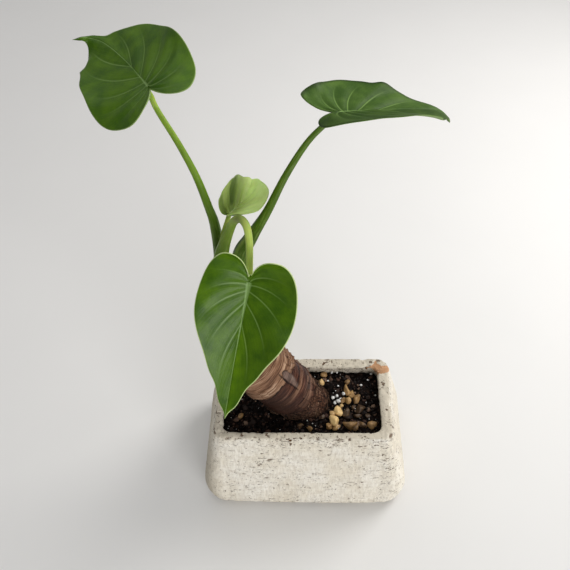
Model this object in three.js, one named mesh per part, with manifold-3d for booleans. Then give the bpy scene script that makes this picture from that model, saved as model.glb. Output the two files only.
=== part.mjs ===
// Chinese taro with four leaves on a leaning trunk, in a flared rectangular stoneware pot.
// Millimetres, +Z up. The origin is the middle of the pot's flat underside.
// +X is to the right and -Y to the front, where the hanging heart-shaped leaf is.
import * as THREE from 'three';
import { mergeVertices } from 'three/addons/utils/BufferGeometryUtils.js';
import Module from 'manifold-3d';

const wasm = await Module();
wasm.setup();

// Pot: outside half sizes and corner radius at each height, from the underside up to the rim
const potHeight = 88;
const potOutside = [
  { z: 0, x: 76, y: 43.5, corner: 16 },
  { z: 1.2, x: 79.5, y: 47, corner: 17 },
  { z: 4, x: 82.5, y: 50, corner: 18 },
  { z: 9, x: 84.5, y: 52.2, corner: 18 },
  { z: 16, x: 85, y: 52.6, corner: 17 },
  { z: 30, x: 82.6, y: 50, corner: 15 },
  { z: 56, x: 77, y: 44.2, corner: 13 },
  { z: potHeight - 3.5, x: 70.8, y: 37.9, corner: 10 },
  { z: potHeight - 0.8, x: 69.9, y: 37, corner: 9.6 },
  { z: potHeight, x: 68.8, y: 35.9, corner: 9 },
];
const potOpening = { x: 60.75, y: 28.5, corner: 6, offsetX: -0.75, offsetY: -1.5 };
const potFlare = 0.2;
const potFloor = 8;
const floorCove = { rise: 6, inset: 5 };
const rimRound = 1.3;
const drainHole = { radius: 3, x: 32 };

// Soil: a low mound round the trunk and three crossing waves of crumbs
const seatGap = 0.3;
const soilTop = 78;
const soilMound = { height: 4, reach: 30, x: -2, y: 2 };
const soilWaves = [
  { height: 0.4, x: 0.33, y: 0.37, phase: 1 },
  { height: 0.4, x: 0.33, y: -0.37, phase: 1 },
  { height: 0.6, x: 0.71, y: -0.52, phase: 0 },
];
const soilRingShares = [1, 0.93, 0.83, 0.72, 0.6, 0.48, 0.36, 0.24, 0.12];

// Gravel: heaps of pebbles that touch, and pebbles that lie alone
const gravelHeaps = {
  gravel_front: [
    { x: 20.5, y: -22.5, size: 5 },
    { x: 26.5, y: -22.2, size: 5 },
    { x: 24.9, y: -17.2, size: 8.4 },
    { x: 23.1, y: -11.1, size: 5.6 },
    { x: 27.9, y: -9.3, size: 8 },
    { x: 34.3, y: -9.3, size: 5.4 },
  ],
  gravel_corner: [
    { x: 37.5, y: -20.4, size: 8.6 },
    { x: 41.6, y: -22.3, size: 5 },
    { x: 46.5, y: -20.7, size: 6 },
    { x: 54.2, y: -20.4, size: 7.2 },
  ],
  gravel_middle: [
    { x: 35.6, y: 11, size: 5.6 },
    { x: 39.8, y: 8.2, size: 5.6 },
    { x: 43.2, y: 2.6, size: 7.6 },
    { x: 36.3, y: 1.7, size: 6 },
    { x: 32.3, y: 1.7, size: 4.6 },
  ],
};
const loneStones = [
  { x: 17.2, y: 26.4, size: 5.9 },
  { x: 14.6, y: 17.6, size: 6.6 },
  { x: 36.7, y: 18.6, size: 5.8 },
  { x: 4.8, y: -24, size: 5.5 },
  { x: -1.6, y: -21.8, size: 4.7 },
  { x: -29, y: 23.5, size: 5.2 },
  { x: -50, y: -13, size: 5.6 },
];
const pebbleShape = { widthLeast: 0.7, widthSpread: 0.2, height: 0.72, proud: 0.12, tilt: 0.5 };
const heapLink = { share: 0.85, smallest: 3.6 };
const pebbleSeed = 31;

// Trunk: points of its axis with the radius there, from inside the soil up to the crown.
// The scars' depth and the lumps' heights are shares of the radius
const crownHeight = 172;
const trunkAxis = [
  { at: [8, 3.5, 60], radius: 17 },
  { at: [4, 3.6, 69], radius: 20 },
  { at: [0.5, 3.6, 78], radius: 21 },
  { at: [-13, 3.2, 98], radius: 22 },
  { at: [-26.5, 3.2, 118], radius: 22.5 },
  { at: [-38, 3.5, 137], radius: 21.5 },
  { at: [-46, 3.5, 156], radius: 19.5 },
  { at: [-50.3, 2.9, 168], radius: 17.3 },
  { at: [-51, 2.5, 174], radius: 15 },
  { at: [-51, 2.5, 178], radius: 10.5 },
];
const trunkScars = { count: 13, depth: 0.06, tilt: 0.45 };
const trunkLumps = [
  { height: 0.02, round: 3, along: 9 },
  { height: 0.012, round: 7, along: -20 },
];
const trunkSides = 20;
const trunkSteps = 39;

// Leaf: half outline seen flat, as degrees from the tip and the distance from the stalk's point
// as a share of the blade's length
const halfOutline = [
  [0, 1], [6, 0.845], [15, 0.715], [30, 0.6], [45, 0.53], [60, 0.478], [75, 0.435], [90, 0.405],
  [105, 0.385], [120, 0.372], [135, 0.35], [150, 0.3], [162, 0.215], [172, 0.125], [180, 0.085],
];
const bladeThickness = 0.8;
const spokeDegrees = [
  0, 3, 7, 12, 18, 25, 34, 44, 54, 65, 76, 88, 100, 112, 124, 135, 145, 154, 162, 168, 174, 180,
];
const ringShares = [0.16, 0.34, 0.52, 0.7, 0.86, 1];
const ribShare = 0.03;
const calmShare = 0.15;
const tipStart = 0.72;

// Each leaf: place of the stalk's point, heading of the rib in degrees (yaw from +Y, pitch up,
// roll about the rib), fold and curl of each half, bends of the rib, and dents in the outline as
// degrees from the tip, spread and depth
const leaves = {
  left: {
    at: [-78.2, 35, 353.4], length: 79.7, wide: 1.027, lopsided: -0.025,
    yaw: 35.6, pitch: -3.8, roll: 34,
    foldLeft: 13.8, foldRight: -2.1, curlLeft: -16.4, curlRight: -36.4,
    bendStart: -7.6, bend: 0.8, tipDroop: -51, tipTurn: -55, sideBend: -3.7, twist: 17.6,
    lobeLift: 0.051, wave: 0.062, wavePhase: 4.08,
    dents: [
      [-166, 8, -0.2], [-148, 13, -0.07], [-26, 11, 0.17],
      [26, 11, 0.05], [148, 13, 0.15], [166, 8, -0.35],
    ],
  },
  right: {
    at: [27, 40, 330.5], length: 80.7, wide: 1.039, lopsided: 0.068,
    yaw: -68.4, pitch: -12.2, roll: 6,
    foldLeft: 17.1, foldRight: 17.2, curlLeft: -13, curlRight: 6,
    bendStart: 7.3, bend: 3.7, tipDroop: 44, tipTurn: -1.2, sideBend: -4.9, twist: 12.4,
    lobeLift: 0.002, wave: 0.026, wavePhase: 3.44,
    dents: [[-40, 20, -0.03], [24, 12, 0.03]],
  },
  front: {
    at: [-26.6, -35, 269.2], length: 77, wide: 1.004, lopsided: -0.059,
    yaw: 159.3, pitch: -54.3, roll: 13.8,
    foldLeft: 28.6, foldRight: 28.8, curlLeft: -17.6, curlRight: -17.6,
    bendStart: -17.7, bend: -3.1, tipDroop: 0, tipTurn: 0, sideBend: -3.4, twist: -4.9,
    lobeLift: 0.163, wave: 0, wavePhase: 0,
    dents: [],
  },
  young: {
    at: [-39.1, 10, 282.5], length: 42, wide: 1.335, lopsided: 0.064,
    yaw: -19.6, pitch: -17, roll: -19.9,
    foldLeft: 38.4, foldRight: 47.2, curlLeft: 106, curlRight: -2.7,
    bendStart: -36.8, bend: 32, tipDroop: 45.9, tipTurn: -14.6, sideBend: -15.3, twist: 8,
    lobeLift: 0.197, wave: 0, wavePhase: 0,
    dents: [],
  },
};

// Stalks: points of each axis with the radius there, from the crown up to the blade
const stalks = {
  left: [
    { at: [-58.3, 7.5, crownHeight], radius: 6.8 },
    { at: [-55.5, 8.2, 198], radius: 5.2 },
    { at: [-51.7, 8.8, 225], radius: 4.4 },
    { at: [-49.2, 9, 251], radius: 3.6 },
    { at: [-49.5, 10.5, 273], radius: 3 },
    { at: [-51.6, 12.5, 284.3], radius: 2.5 },
    { at: [-57, 18, 304.3], radius: 2.1 },
    { at: [-65.1, 25, 321.8], radius: 1.8 },
    { at: [-74.4, 32, 338.3], radius: 1.6 },
    { at: [-76.9, 34, 345.5], radius: 1.55 },
    { at: [-78.2, 35, 353.4], radius: 1.5 },
  ],
  right: [
    { at: [-43.5, 7.5, crownHeight], radius: 7 },
    { at: [-42.5, 7.2, 198], radius: 6 },
    { at: [-40.2, 6.5, 225], radius: 5.6 },
    { at: [-35.4, 6, 251], radius: 4.9 },
    { at: [-29.3, 6.5, 263], radius: 4.2 },
    { at: [-22.1, 8, 275], radius: 3.2 },
    { at: [-15.9, 11, 285.1], radius: 2.6 },
    { at: [-5.8, 19.5, 302], radius: 2.1 },
    { at: [6.2, 30, 316.3], radius: 1.8 },
    { at: [16.5, 36.3, 324.3], radius: 1.6 },
    { at: [27, 40, 330.5], radius: 1.55 },
  ],
  front: [
    { at: [-51, -6.2, crownHeight], radius: 7 },
    { at: [-51, -5, 198], radius: 6 },
    { at: [-50, -3, 222], radius: 5.6 },
    { at: [-47.6, -0.5, 250], radius: 4.8 },
    { at: [-44, 0, 266], radius: 4 },
    { at: [-39.8, -1, 279.5], radius: 3.2 },
    { at: [-35.6, -4, 289.3], radius: 2.7 },
    { at: [-30.8, -9, 295.6], radius: 2.4 },
    { at: [-26.8, -14, 295.4], radius: 2.2 },
    { at: [-25.5, -19, 289.8], radius: 2.1 },
    { at: [-25.6, -24, 281], radius: 2 },
    { at: [-26, -29, 273.6], radius: 1.9 },
    { at: [-26.6, -35, 269.2], radius: 1.8 },
  ],
  young: [
    { at: [-46.8, 0.6, 252], radius: 1.5 },
    { at: [-45, 1.8, 262], radius: 1.5 },
    { at: [-42.7, 4.4, 271], radius: 1.45 },
    { at: [-40.7, 7.4, 277.5], radius: 1.4 },
    { at: [-39.1, 10, 282.5], radius: 1.4 },
  ],
};
const stalkSides = 10;
const stepsPerPoint = 2.4;

const colours = {
  stoneware: { color: 0xd9d2c0, roughness: 0.85 },
  soil: { color: 0x1d1713, roughness: 1 },
  gravel: { color: 0xc9a878, roughness: 0.8 },
  bark: { color: 0x7a5c4a, roughness: 0.9 },
  leaf: { color: 0x3f6b1e, roughness: 0.4 },
  youngLeaf: { color: 0x97ac66, roughness: 0.5 },
  stalk: { color: 0x5d8030, roughness: 0.45 },
};

const { degToRad, radToDeg, lerp, clamp } = THREE.MathUtils;

// The same numbers in the same order on every run, each from 0 to 1
function seededRandom(seed) {
  let state = seed;
  return () => {
    state = (state + 0x6d2b79f5) | 0;
    let mixed = Math.imul(state ^ (state >>> 15), 1 | state);
    mixed = (mixed + Math.imul(mixed ^ (mixed >>> 7), 61 | mixed)) ^ mixed;
    return ((mixed ^ (mixed >>> 14)) >>> 0) / 4294967296;
  };
}

function geometryOf(positions, index) {
  const geometry = new THREE.BufferGeometry();
  geometry.setAttribute('position', new THREE.Float32BufferAttribute(positions, 3));
  geometry.setIndex(index);
  geometry.computeVertexNormals();
  return geometry;
}

function middleOf(ring) {
  return ring.reduce((sum, point) => sum.add(point), new THREE.Vector3()).divideScalar(ring.length);
}

// Closed skin over rings that have as many points each and run counter-clockwise, with flat ends
function loft(rings) {
  const count = rings[0].length;
  const points = rings.flat();
  const index = [];
  for (let level = 0; level < rings.length - 1; level += 1) {
    for (let i = 0; i < count; i += 1) {
      const a = level * count + i;
      const b = level * count + ((i + 1) % count);
      index.push(a, b, b + count, a, b + count, a + count);
    }
  }
  const bottom = points.push(middleOf(rings[0])) - 1;
  const top = points.push(middleOf(rings[rings.length - 1])) - 1;
  const last = (rings.length - 1) * count;
  for (let i = 0; i < count; i += 1) {
    const next = (i + 1) % count;
    index.push(bottom, next, i, top, last + i, last + next);
  }
  return geometryOf(points.flatMap((point) => point.toArray()), index);
}

// Rectangle with round corners at one height, counter-clockwise
function roundedRing({ x, y, z, corner, offsetX = 0, offsetY = 0 }) {
  const stepsPerCorner = 8;
  const ring = [];
  for (let quarter = 0; quarter < 4; quarter += 1) {
    const signX = quarter === 0 || quarter === 3 ? 1 : -1;
    const signY = quarter < 2 ? 1 : -1;
    for (let step = 0; step <= stepsPerCorner; step += 1) {
      const angle = ((quarter + step / stepsPerCorner) * Math.PI) / 2;
      const px = signX * (x - corner) + corner * Math.cos(angle) + offsetX;
      const py = signY * (y - corner) + corner * Math.sin(angle) + offsetY;
      ring.push(new THREE.Vector3(px, py, z));
    }
  }
  return ring;
}

// Round tube along a smooth curve whose radius changes from point to point; shapeRing can press
// relief into it, and grow makes it thicker all round
function taperedTube(stations, { sides, steps, shapeRing = () => 1, grow = 0 }) {
  const curve = new THREE.CatmullRomCurve3(stations.map(({ at }) => new THREE.Vector3(...at)));
  const frames = curve.computeFrenetFrames(steps, false);
  const rings = [];
  for (let i = 0; i <= steps; i += 1) {
    const share = i / steps;
    const centre = curve.getPointAt(share);
    const along = curve.getUtoTmapping(share) * (stations.length - 1);
    const before = Math.min(Math.floor(along), stations.length - 2);
    const radius = lerp(stations[before].radius, stations[before + 1].radius, along - before);
    const ring = [];
    for (let side = 0; side < sides; side += 1) {
      const angle = (side / sides) * 2 * Math.PI;
      const reach = radius * shapeRing(share, angle) + grow;
      const point = centre.clone();
      point.addScaledVector(frames.normals[i], reach * Math.cos(angle));
      point.addScaledVector(frames.binormals[i], reach * Math.sin(angle));
      ring.push(point);
    }
    rings.push(ring);
  }
  return loft(rings);
}

function toSolid(geometry) {
  const bare = geometry.clone();
  bare.deleteAttribute('normal');
  bare.deleteAttribute('uv');
  const merged = mergeVertices(bare, 1e-4);
  const vertProperties = new Float32Array(merged.attributes.position.array);
  const triVerts = new Uint32Array(merged.index.array);
  return new wasm.Manifold(new wasm.Mesh({ numProp: 3, vertProperties, triVerts }));
}

// The largest piece of a solid, without the loose scraps of a cut
function toGeometry(solid) {
  const pieces = solid.decompose();
  const largest = pieces.reduce((best, piece) => (piece.volume() > best.volume() ? piece : best));
  const mesh = largest.getMesh();
  return geometryOf(Array.from(mesh.vertProperties), Array.from(mesh.triVerts));
}

// Inside of the pot at one height; clearance makes it the outside of what fills the pot
function potInside(z, clearance = 0) {
  const spread = potFlare * (potHeight - z) - clearance;
  return { ...potOpening, z, x: potOpening.x + spread, y: potOpening.y + spread };
}

// The two lowest levels of that inside, where a slanted cove meets the floor
function potCove(clearance = 0) {
  const level = potInside(potFloor, 2 * clearance);
  const { inset } = floorCove;
  return [
    potInside(potFloor + floorCove.rise + clearance, clearance),
    { ...level, z: potFloor + clearance, x: level.x - inset, y: level.y - inset },
  ];
}

// Pot: one skin up the outside, over the rim and down inside, with two drain holes in its floor
function makePot() {
  const rimEdge = potInside(potHeight, -rimRound);
  const inside = [rimEdge, potInside(potHeight - rimRound), ...potCove()];
  let pot = toSolid(loft([...potOutside, ...inside].map(roundedRing)));
  for (const side of [-1, 1]) {
    const hole = new THREE.CylinderGeometry(drainHole.radius, drainHole.radius, 3 * potFloor, 12);
    hole.rotateX(Math.PI / 2);
    hole.translate(side * drainHole.x, 0, potFloor / 2);
    pot = pot.subtract(toSolid(hole));
  }
  return toGeometry(pot);
}

function soilHeight(x, y) {
  const { height, reach } = soilMound;
  const away = Math.hypot(x - soilMound.x, y - soilMound.y) / reach;
  return soilWaves.reduce(
    (sum, wave) => sum + wave.height * Math.sin(wave.x * x + wave.y * y + wave.phase),
    soilTop + height * Math.exp(-(away ** 2)),
  );
}

// A rounded pebble, half sunk; grow makes the hollow that it sits in
function pebble({ x, y, size }, random, grow = 0) {
  const { widthLeast, widthSpread, height, proud, tilt } = pebbleShape;
  const half = size / 2;
  const narrow = widthLeast + widthSpread * random();
  const geometry = new THREE.IcosahedronGeometry(1);
  geometry.scale(half + grow, half * narrow + grow, half * height + grow);
  geometry.rotateX(tilt * (random() - 0.5));
  geometry.rotateZ(Math.PI * random());
  geometry.translate(x, y, soilHeight(x, y) + proud * size);
  return toSolid(geometry);
}

// Pebbles that touch, each tied to the one before by a smaller one between them
function makeHeap(stones, seed, grow = 0) {
  const random = seededRandom(seed);
  let heap = pebble(stones[0], random, grow);
  for (let i = 1; i < stones.length; i += 1) {
    const [from, to] = [stones[i - 1], stones[i]];
    const span = Math.hypot(to.x - from.x, to.y - from.y);
    const size = Math.max(heapLink.smallest, heapLink.share * span);
    const link = { x: (from.x + to.x) / 2, y: (from.y + to.y) / 2, size };
    heap = heap.add(pebble(link, random, grow)).add(pebble(to, random, grow));
  }
  return heap;
}

// Soil: fills the pot up to its crumbly top, with the lone pebbles raised from it and hollows
// for what stands in it
function makeSoil(hollows) {
  const rings = potCove(seatGap).reverse().map(roundedRing);
  const edge = roundedRing(potInside(soilTop, seatGap));
  const middle = new THREE.Vector3(potOpening.offsetX, potOpening.offsetY, soilTop);
  for (const share of soilRingShares) {
    const ring = edge.map((point) => point.clone().lerp(middle, 1 - share));
    ring.forEach((point) => point.setZ(soilHeight(point.x, point.y)));
    rings.push(ring);
  }
  let soil = toSolid(loft(rings));
  const random = seededRandom(pebbleSeed);
  for (const stone of loneStones) {
    soil = soil.add(pebble(stone, random));
  }
  for (const hollow of hollows) {
    soil = soil.subtract(hollow);
  }
  return toGeometry(soil);
}

// Trunk: old leaf bases leave tilted steps round it, each overhanging the one below
function makeTrunk() {
  const shapeRing = (share, angle) => {
    const turn = share * trunkScars.count + trunkScars.tilt * Math.cos(angle);
    const step = turn - Math.floor(turn);
    return trunkLumps.reduce(
      (sum, lump) => sum + lump.height * Math.sin(lump.round * angle + lump.along * share),
      1 - trunkScars.depth * step,
    );
  };
  return taperedTube(trunkAxis, { sides: trunkSides, steps: trunkSteps, shapeRing });
}

// The room that the soil and the stalks leave for the trunk: its smooth form, a gap wider all
// round and at both ends
function makeTrunkRoom() {
  const stations = trunkAxis.map(({ at, radius }) => ({ at: [...at], radius }));
  stations[0].at[2] -= seatGap;
  stations[stations.length - 1].at[2] += seatGap;
  const highest = trunkLumps.reduce((sum, lump) => sum + lump.height, 1);
  const shape = { sides: trunkSides, steps: trunkSteps, shapeRing: () => highest, grow: seatGap };
  return toSolid(taperedTube(stations, shape));
}

// Distance from the stalk's point to the outline, as a share of the blade's length:
// a smooth curve through halfOutline without overshoot, and the leaf's own dents
function outlineRadius(leaf, degrees) {
  const angle = Math.abs(degrees);
  const last = halfOutline.length - 1;
  let i = 0;
  while (i < last - 1 && halfOutline[i + 1][0] < angle) {
    i += 1;
  }
  const rise = (k) => {
    const [[angleA, radiusA], [angleB, radiusB]] = [halfOutline[k], halfOutline[k + 1]];
    return (radiusB - radiusA) / (angleB - angleA);
  };
  const slope = (k) => {
    if (k === 0 || k === last) {
      return rise(Math.min(k, last - 1));
    }
    return (2 * rise(k - 1) * rise(k)) / (rise(k - 1) + rise(k));
  };
  const width = halfOutline[i + 1][0] - halfOutline[i][0];
  const t = (angle - halfOutline[i][0]) / width;
  const smooth = halfOutline[i][1] * (2 * t ** 3 - 3 * t ** 2 + 1)
    + halfOutline[i + 1][1] * (3 * t ** 2 - 2 * t ** 3)
    + width * slope(i) * (t ** 3 - 2 * t ** 2 + t)
    + width * slope(i + 1) * (t ** 3 - t ** 2);
  return leaf.dents.reduce(
    (radius, [at, spread, depth]) => radius + smooth * depth * Math.exp(-(((degrees - at) / spread) ** 2)),
    smooth,
  );
}

// Rib: its slope down and sideways at a share of the length, and the point it has reached
function makeRib(leaf) {
  const headingAt = (share) => {
    const tip = clamp((share - tipStart) / (1 - tipStart), 0, 1.2) ** 1.5;
    const squared = share * Math.abs(share);
    const down = degToRad(leaf.bendStart * share + leaf.bend * squared + leaf.tipDroop * tip);
    const aside = degToRad(leaf.sideBend * squared + leaf.tipTurn * tip);
    return { down, aside };
  };
  const pointAt = (share) => {
    const steps = 40;
    const point = new THREE.Vector3();
    for (let i = 0; i < steps; i += 1) {
      const { down, aside } = headingAt((share * (i + 0.5)) / steps);
      const stride = (leaf.length * share) / steps;
      point.x += stride * Math.sin(aside);
      point.y += stride * Math.cos(down) * Math.cos(aside);
      point.z -= stride * Math.sin(down) * Math.cos(aside);
    }
    return point;
  };
  return { headingAt, pointAt };
}

// Point of the blade's middle surface over a point of the flat leaf. The halves are folded up
// beside the soft crease of the rib, curled, twisted and waved, and then carried along the rib.
// The waves die away near the stalk's point
function bladePoint(leaf, rib, flatX, flatY) {
  const angle = Math.atan2(flatX / leaf.wide, flatY);
  const reach = Math.hypot(flatX / leaf.wide, flatY);
  const outward = reach / (outlineRadius(leaf, radToDeg(angle)) * leaf.length);
  const side = Math.sign(flatX);
  const away = Math.abs(flatX) * (1 + side * leaf.lopsided);
  const ribWidth = ribShare * leaf.length;
  const across = away - ribWidth * Math.tanh(away / (2 * ribWidth));
  const lifted = across ** 2 / (across + ribWidth);
  const fold = degToRad(side > 0 ? leaf.foldRight : leaf.foldLeft);
  const curl = degToRad(side > 0 ? leaf.curlRight : leaf.curlLeft) / leaf.length;
  let x = (side * (Math.sin(fold + curl * across) - Math.sin(fold))) / curl;
  let z = (Math.cos(fold) - Math.cos(fold + curl * lifted)) / curl;
  const share = flatY / leaf.length;
  const turn = degToRad(leaf.twist) * share;
  [x, z] = [x * Math.cos(turn) - z * Math.sin(turn), x * Math.sin(turn) + z * Math.cos(turn)];
  z += 4 * leaf.lobeLift * leaf.length * Math.max(-share, 0) ** 2;
  const lively = reach ** 2 / (reach ** 2 + (calmShare * leaf.length) ** 2);
  z += leaf.wave * leaf.length * lively * outward ** 3 * Math.sin(3 * angle + leaf.wavePhase);
  const { down, aside } = rib.headingAt(share);
  const point = rib.pointAt(share);
  point.x += x * Math.cos(aside);
  point.y += -x * Math.sin(aside) * Math.cos(down) + z * Math.sin(down);
  point.z += x * Math.sin(aside) * Math.sin(down) + z * Math.cos(down);
  return point;
}

// Direction out of the upper face, from the points a short way to each side
function bladeNormal(leaf, rib, flatX, flatY) {
  const nudge = 0.25;
  const slope = (x, y) => {
    const ahead = bladePoint(leaf, rib, flatX + x, flatY + y);
    return ahead.sub(bladePoint(leaf, rib, flatX - x, flatY - y));
  };
  return slope(nudge, 0).cross(slope(0, nudge)).normalize();
}

// Blade: the middle surface moved half the thickness each way, with the same triangles on both
// faces and a band round the edge
function makeBlade(leaf, thickness) {
  const rib = makeRib(leaf);
  const otherHalf = spokeDegrees.slice(1, -1).reverse().map((degrees) => -degrees);
  const spokes = [...spokeDegrees, ...otherHalf];
  const flat = [[0, 0]];
  for (const outward of ringShares) {
    for (const degrees of spokes) {
      const reach = outlineRadius(leaf, degrees) * leaf.length * outward;
      const angle = degToRad(degrees);
      flat.push([reach * Math.sin(angle) * leaf.wide, reach * Math.cos(angle)]);
    }
  }
  const positions = [];
  for (const face of [1, -1]) {
    for (const [x, y] of flat) {
      const point = bladePoint(leaf, rib, x, y);
      point.addScaledVector(bladeNormal(leaf, rib, x, y), (face * thickness) / 2);
      positions.push(...point.toArray());
    }
  }
  const count = spokes.length;
  const lower = flat.length;
  const at = (ring, spoke) => 1 + ring * count + (spoke % count);
  const index = [];
  const addBothFaces = (a, b, c) => index.push(a, b, c, lower + a, lower + c, lower + b);
  const edge = ringShares.length - 1;
  for (let spoke = 0; spoke < count; spoke += 1) {
    addBothFaces(0, at(0, spoke + 1), at(0, spoke));
    for (let ring = 0; ring < edge; ring += 1) {
      addBothFaces(at(ring, spoke), at(ring, spoke + 1), at(ring + 1, spoke + 1));
      addBothFaces(at(ring, spoke), at(ring + 1, spoke + 1), at(ring + 1, spoke));
    }
    const a = at(edge, spoke);
    const b = at(edge, spoke + 1);
    index.push(a, b, lower + b, a, lower + b, lower + a);
  }
  return geometryOf(positions, index);
}

// Heading of a blade: x across, y along the rib, z out of the upper face
function bladeFrame(leaf) {
  const [yaw, pitch, roll] = [leaf.yaw, leaf.pitch, leaf.roll].map(degToRad);
  const along = new THREE.Vector3(
    -Math.sin(yaw) * Math.cos(pitch),
    Math.cos(yaw) * Math.cos(pitch),
    Math.sin(pitch),
  );
  const level = new THREE.Vector3(Math.cos(yaw), Math.sin(yaw), 0);
  const upright = level.clone().cross(along);
  const across = level.clone().multiplyScalar(Math.cos(roll));
  const out = upright.clone().multiplyScalar(Math.cos(roll));
  across.addScaledVector(upright, Math.sin(roll));
  out.addScaledVector(level, -Math.sin(roll));
  return new THREE.Matrix4().makeBasis(across, along, out).setPosition(...leaf.at);
}

function stalkTube(name, grow = 0) {
  const steps = Math.round(stepsPerPoint * stalks[name].length);
  return toSolid(taperedTube(stalks[name], { sides: stalkSides, steps, grow }));
}

// Stalk: a tapered tube that sits on the crown, ended just under its own blade and clear of its
// neighbours
function makeStalk(name, neighbours) {
  const roomForBlade = makeBlade(leaves[name], bladeThickness + 2 * seatGap);
  roomForBlade.applyMatrix4(bladeFrame(leaves[name]));
  let stalk = stalkTube(name);
  for (const room of [toSolid(roomForBlade), ...neighbours]) {
    stalk = stalk.subtract(room);
  }
  return toGeometry(stalk);
}

const plant = new THREE.Group();

function addMesh(name, geometry, finish) {
  const material = new THREE.MeshStandardMaterial({ ...colours[finish], metalness: 0 });
  const mesh = new THREE.Mesh(geometry, material);
  mesh.name = name;
  plant.add(mesh);
  return mesh;
}

// The hollows are made first, because the soil and the stalks are cut by them
const heapNames = Object.keys(gravelHeaps);
const heapHollows = heapNames.map((name, i) => makeHeap(gravelHeaps[name], pebbleSeed + i, seatGap));
const trunkRoom = makeTrunkRoom();

addMesh('pot', makePot(), 'stoneware');
addMesh('soil', makeSoil([trunkRoom, ...heapHollows]), 'soil');
heapNames.forEach((name, i) => {
  addMesh(name, toGeometry(makeHeap(gravelHeaps[name], pebbleSeed + i)), 'gravel');
});
addMesh('trunk', makeTrunk(), 'bark');

// The young stalk comes up out of the front stalk's sheath, and the others sit on the crown
const stalkNeighbours = {
  left: [trunkRoom],
  right: [trunkRoom],
  front: [trunkRoom, stalkTube('young', seatGap)],
  young: [],
};
for (const name of Object.keys(leaves)) {
  addMesh(`stalk_${name}`, makeStalk(name, stalkNeighbours[name]), 'stalk');
  const finish = name === 'young' ? 'youngLeaf' : 'leaf';
  const blade = addMesh(`blade_${name}`, makeBlade(leaves[name], bladeThickness), finish);
  blade.applyMatrix4(bladeFrame(leaves[name]));
}

export default plant;
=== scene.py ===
# Looks of the potted chinese taro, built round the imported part.
# Shapes are worked out in millimetres in the part's own frame and scaled to metres in addSkin.
import math
import bpy
import numpy as np
from mathutils import Matrix


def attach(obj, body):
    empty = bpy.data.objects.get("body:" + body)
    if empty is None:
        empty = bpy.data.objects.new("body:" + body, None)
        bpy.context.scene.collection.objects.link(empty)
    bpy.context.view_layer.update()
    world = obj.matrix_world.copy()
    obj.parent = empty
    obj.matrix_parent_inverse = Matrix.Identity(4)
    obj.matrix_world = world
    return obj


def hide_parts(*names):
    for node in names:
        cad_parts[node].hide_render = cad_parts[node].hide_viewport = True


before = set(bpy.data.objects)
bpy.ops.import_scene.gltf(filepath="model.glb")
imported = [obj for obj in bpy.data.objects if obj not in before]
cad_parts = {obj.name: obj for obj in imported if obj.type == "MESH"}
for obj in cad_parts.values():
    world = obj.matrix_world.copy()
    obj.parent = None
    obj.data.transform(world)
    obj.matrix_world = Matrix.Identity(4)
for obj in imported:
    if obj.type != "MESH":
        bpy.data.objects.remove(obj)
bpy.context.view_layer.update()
mm = 0.001
print("frame loaded:", len(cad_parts), "nodes")


# Noise, curves and skins

def hashed(cells, seed):
    # one steady random number from 0 to 1 for each whole-number cell
    mixed = cells[..., 0] * 73856093 ^ cells[..., 1] * 19349663 ^ cells[..., 2] * 83492791
    mixed = (mixed + seed * 9176263) & 0x7FFFFFFF
    mixed = ((mixed ^ (mixed >> 13)) * 1274126177) & 0x7FFFFFFF
    mixed = ((mixed ^ (mixed >> 16)) * 668265263) & 0x7FFFFFFF
    return (mixed ^ (mixed >> 15)) / 0x7FFFFFFF


def lumpNoise(points, size, seed):
    # random heights at the corners of a cubic grid, blended smoothly between them, from -1 to 1
    places = np.asarray(points) / size
    cells = np.floor(places).astype(np.int64)
    blend = places - cells
    blend = blend * blend * (3 - 2 * blend)
    total = 0
    for corner in np.ndindex(2, 2, 2):
        weight = np.prod(np.where(corner, blend, 1 - blend), axis=-1)
        total = total + weight * hashed(cells + corner, seed)
    return 2 * total - 1


def roughNoise(points, size, seed, octaves=3):
    # lump noise, each octave half the size and half the height of the last
    return sum(lumpNoise(points, size / 2 ** i, seed + i) / 2 ** i for i in range(octaves))


def scatterNoise(points, size, seed):
    # one point at a random place in each cubic cell: distance to the nearest, in cells, and its own number
    places = np.asarray(points) / size
    cells = np.floor(places).astype(np.int64)
    nearest = np.full(places.shape[:-1], 9.0)
    number = np.zeros(places.shape[:-1])
    for step in np.ndindex(3, 3, 3):
        cell = cells + step - 1
        centre = cell + np.stack([hashed(cell, seed + k) for k in range(3)], axis=-1)
        distance = np.linalg.norm(places - centre, axis=-1)
        closer = distance < nearest
        nearest = np.where(closer, distance, nearest)
        number = np.where(closer, hashed(cell, seed + 3), number)
    return nearest, number


def softStep(value, low, high):
    # 0 below low, 1 above high, and an S curve between them
    share = np.clip((value - low) / (high - low), 0, 1)
    return share * share * (3 - 2 * share)


def smoothPath(stations, steps):
    # Catmull-Rom curve through the stations (x, y, z, radius), resampled to even steps of its length;
    # the radius runs straight from station to station
    stations = np.asarray(stations, float)
    points = stations[:, :3]
    points = np.vstack([2 * points[0] - points[1], points, 2 * points[-1] - points[-2]])
    spans = len(stations) - 1
    along = np.linspace(0, spans, spans * 24 + 1)
    span = np.minimum(along.astype(int), spans - 1)
    t = (along - span)[:, None]
    p0, p1, p2, p3 = (points[span + k] for k in range(4))
    curve = 0.5 * (2 * p1 + (p2 - p0) * t + (2 * p0 - 5 * p1 + 4 * p2 - p3) * t ** 2
                   + (3 * p1 - p0 - 3 * p2 + p3) * t ** 3)
    length = np.concatenate([[0], np.cumsum(np.linalg.norm(np.diff(curve, axis=0), axis=1))])
    even = np.linspace(0, length[-1], steps)
    centre = np.stack([np.interp(even, length, curve[:, k]) for k in range(3)], axis=-1)
    radius = np.interp(even, length, np.interp(along, np.arange(spans + 1), stations[:, 3]))
    return centre, radius, even


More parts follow.
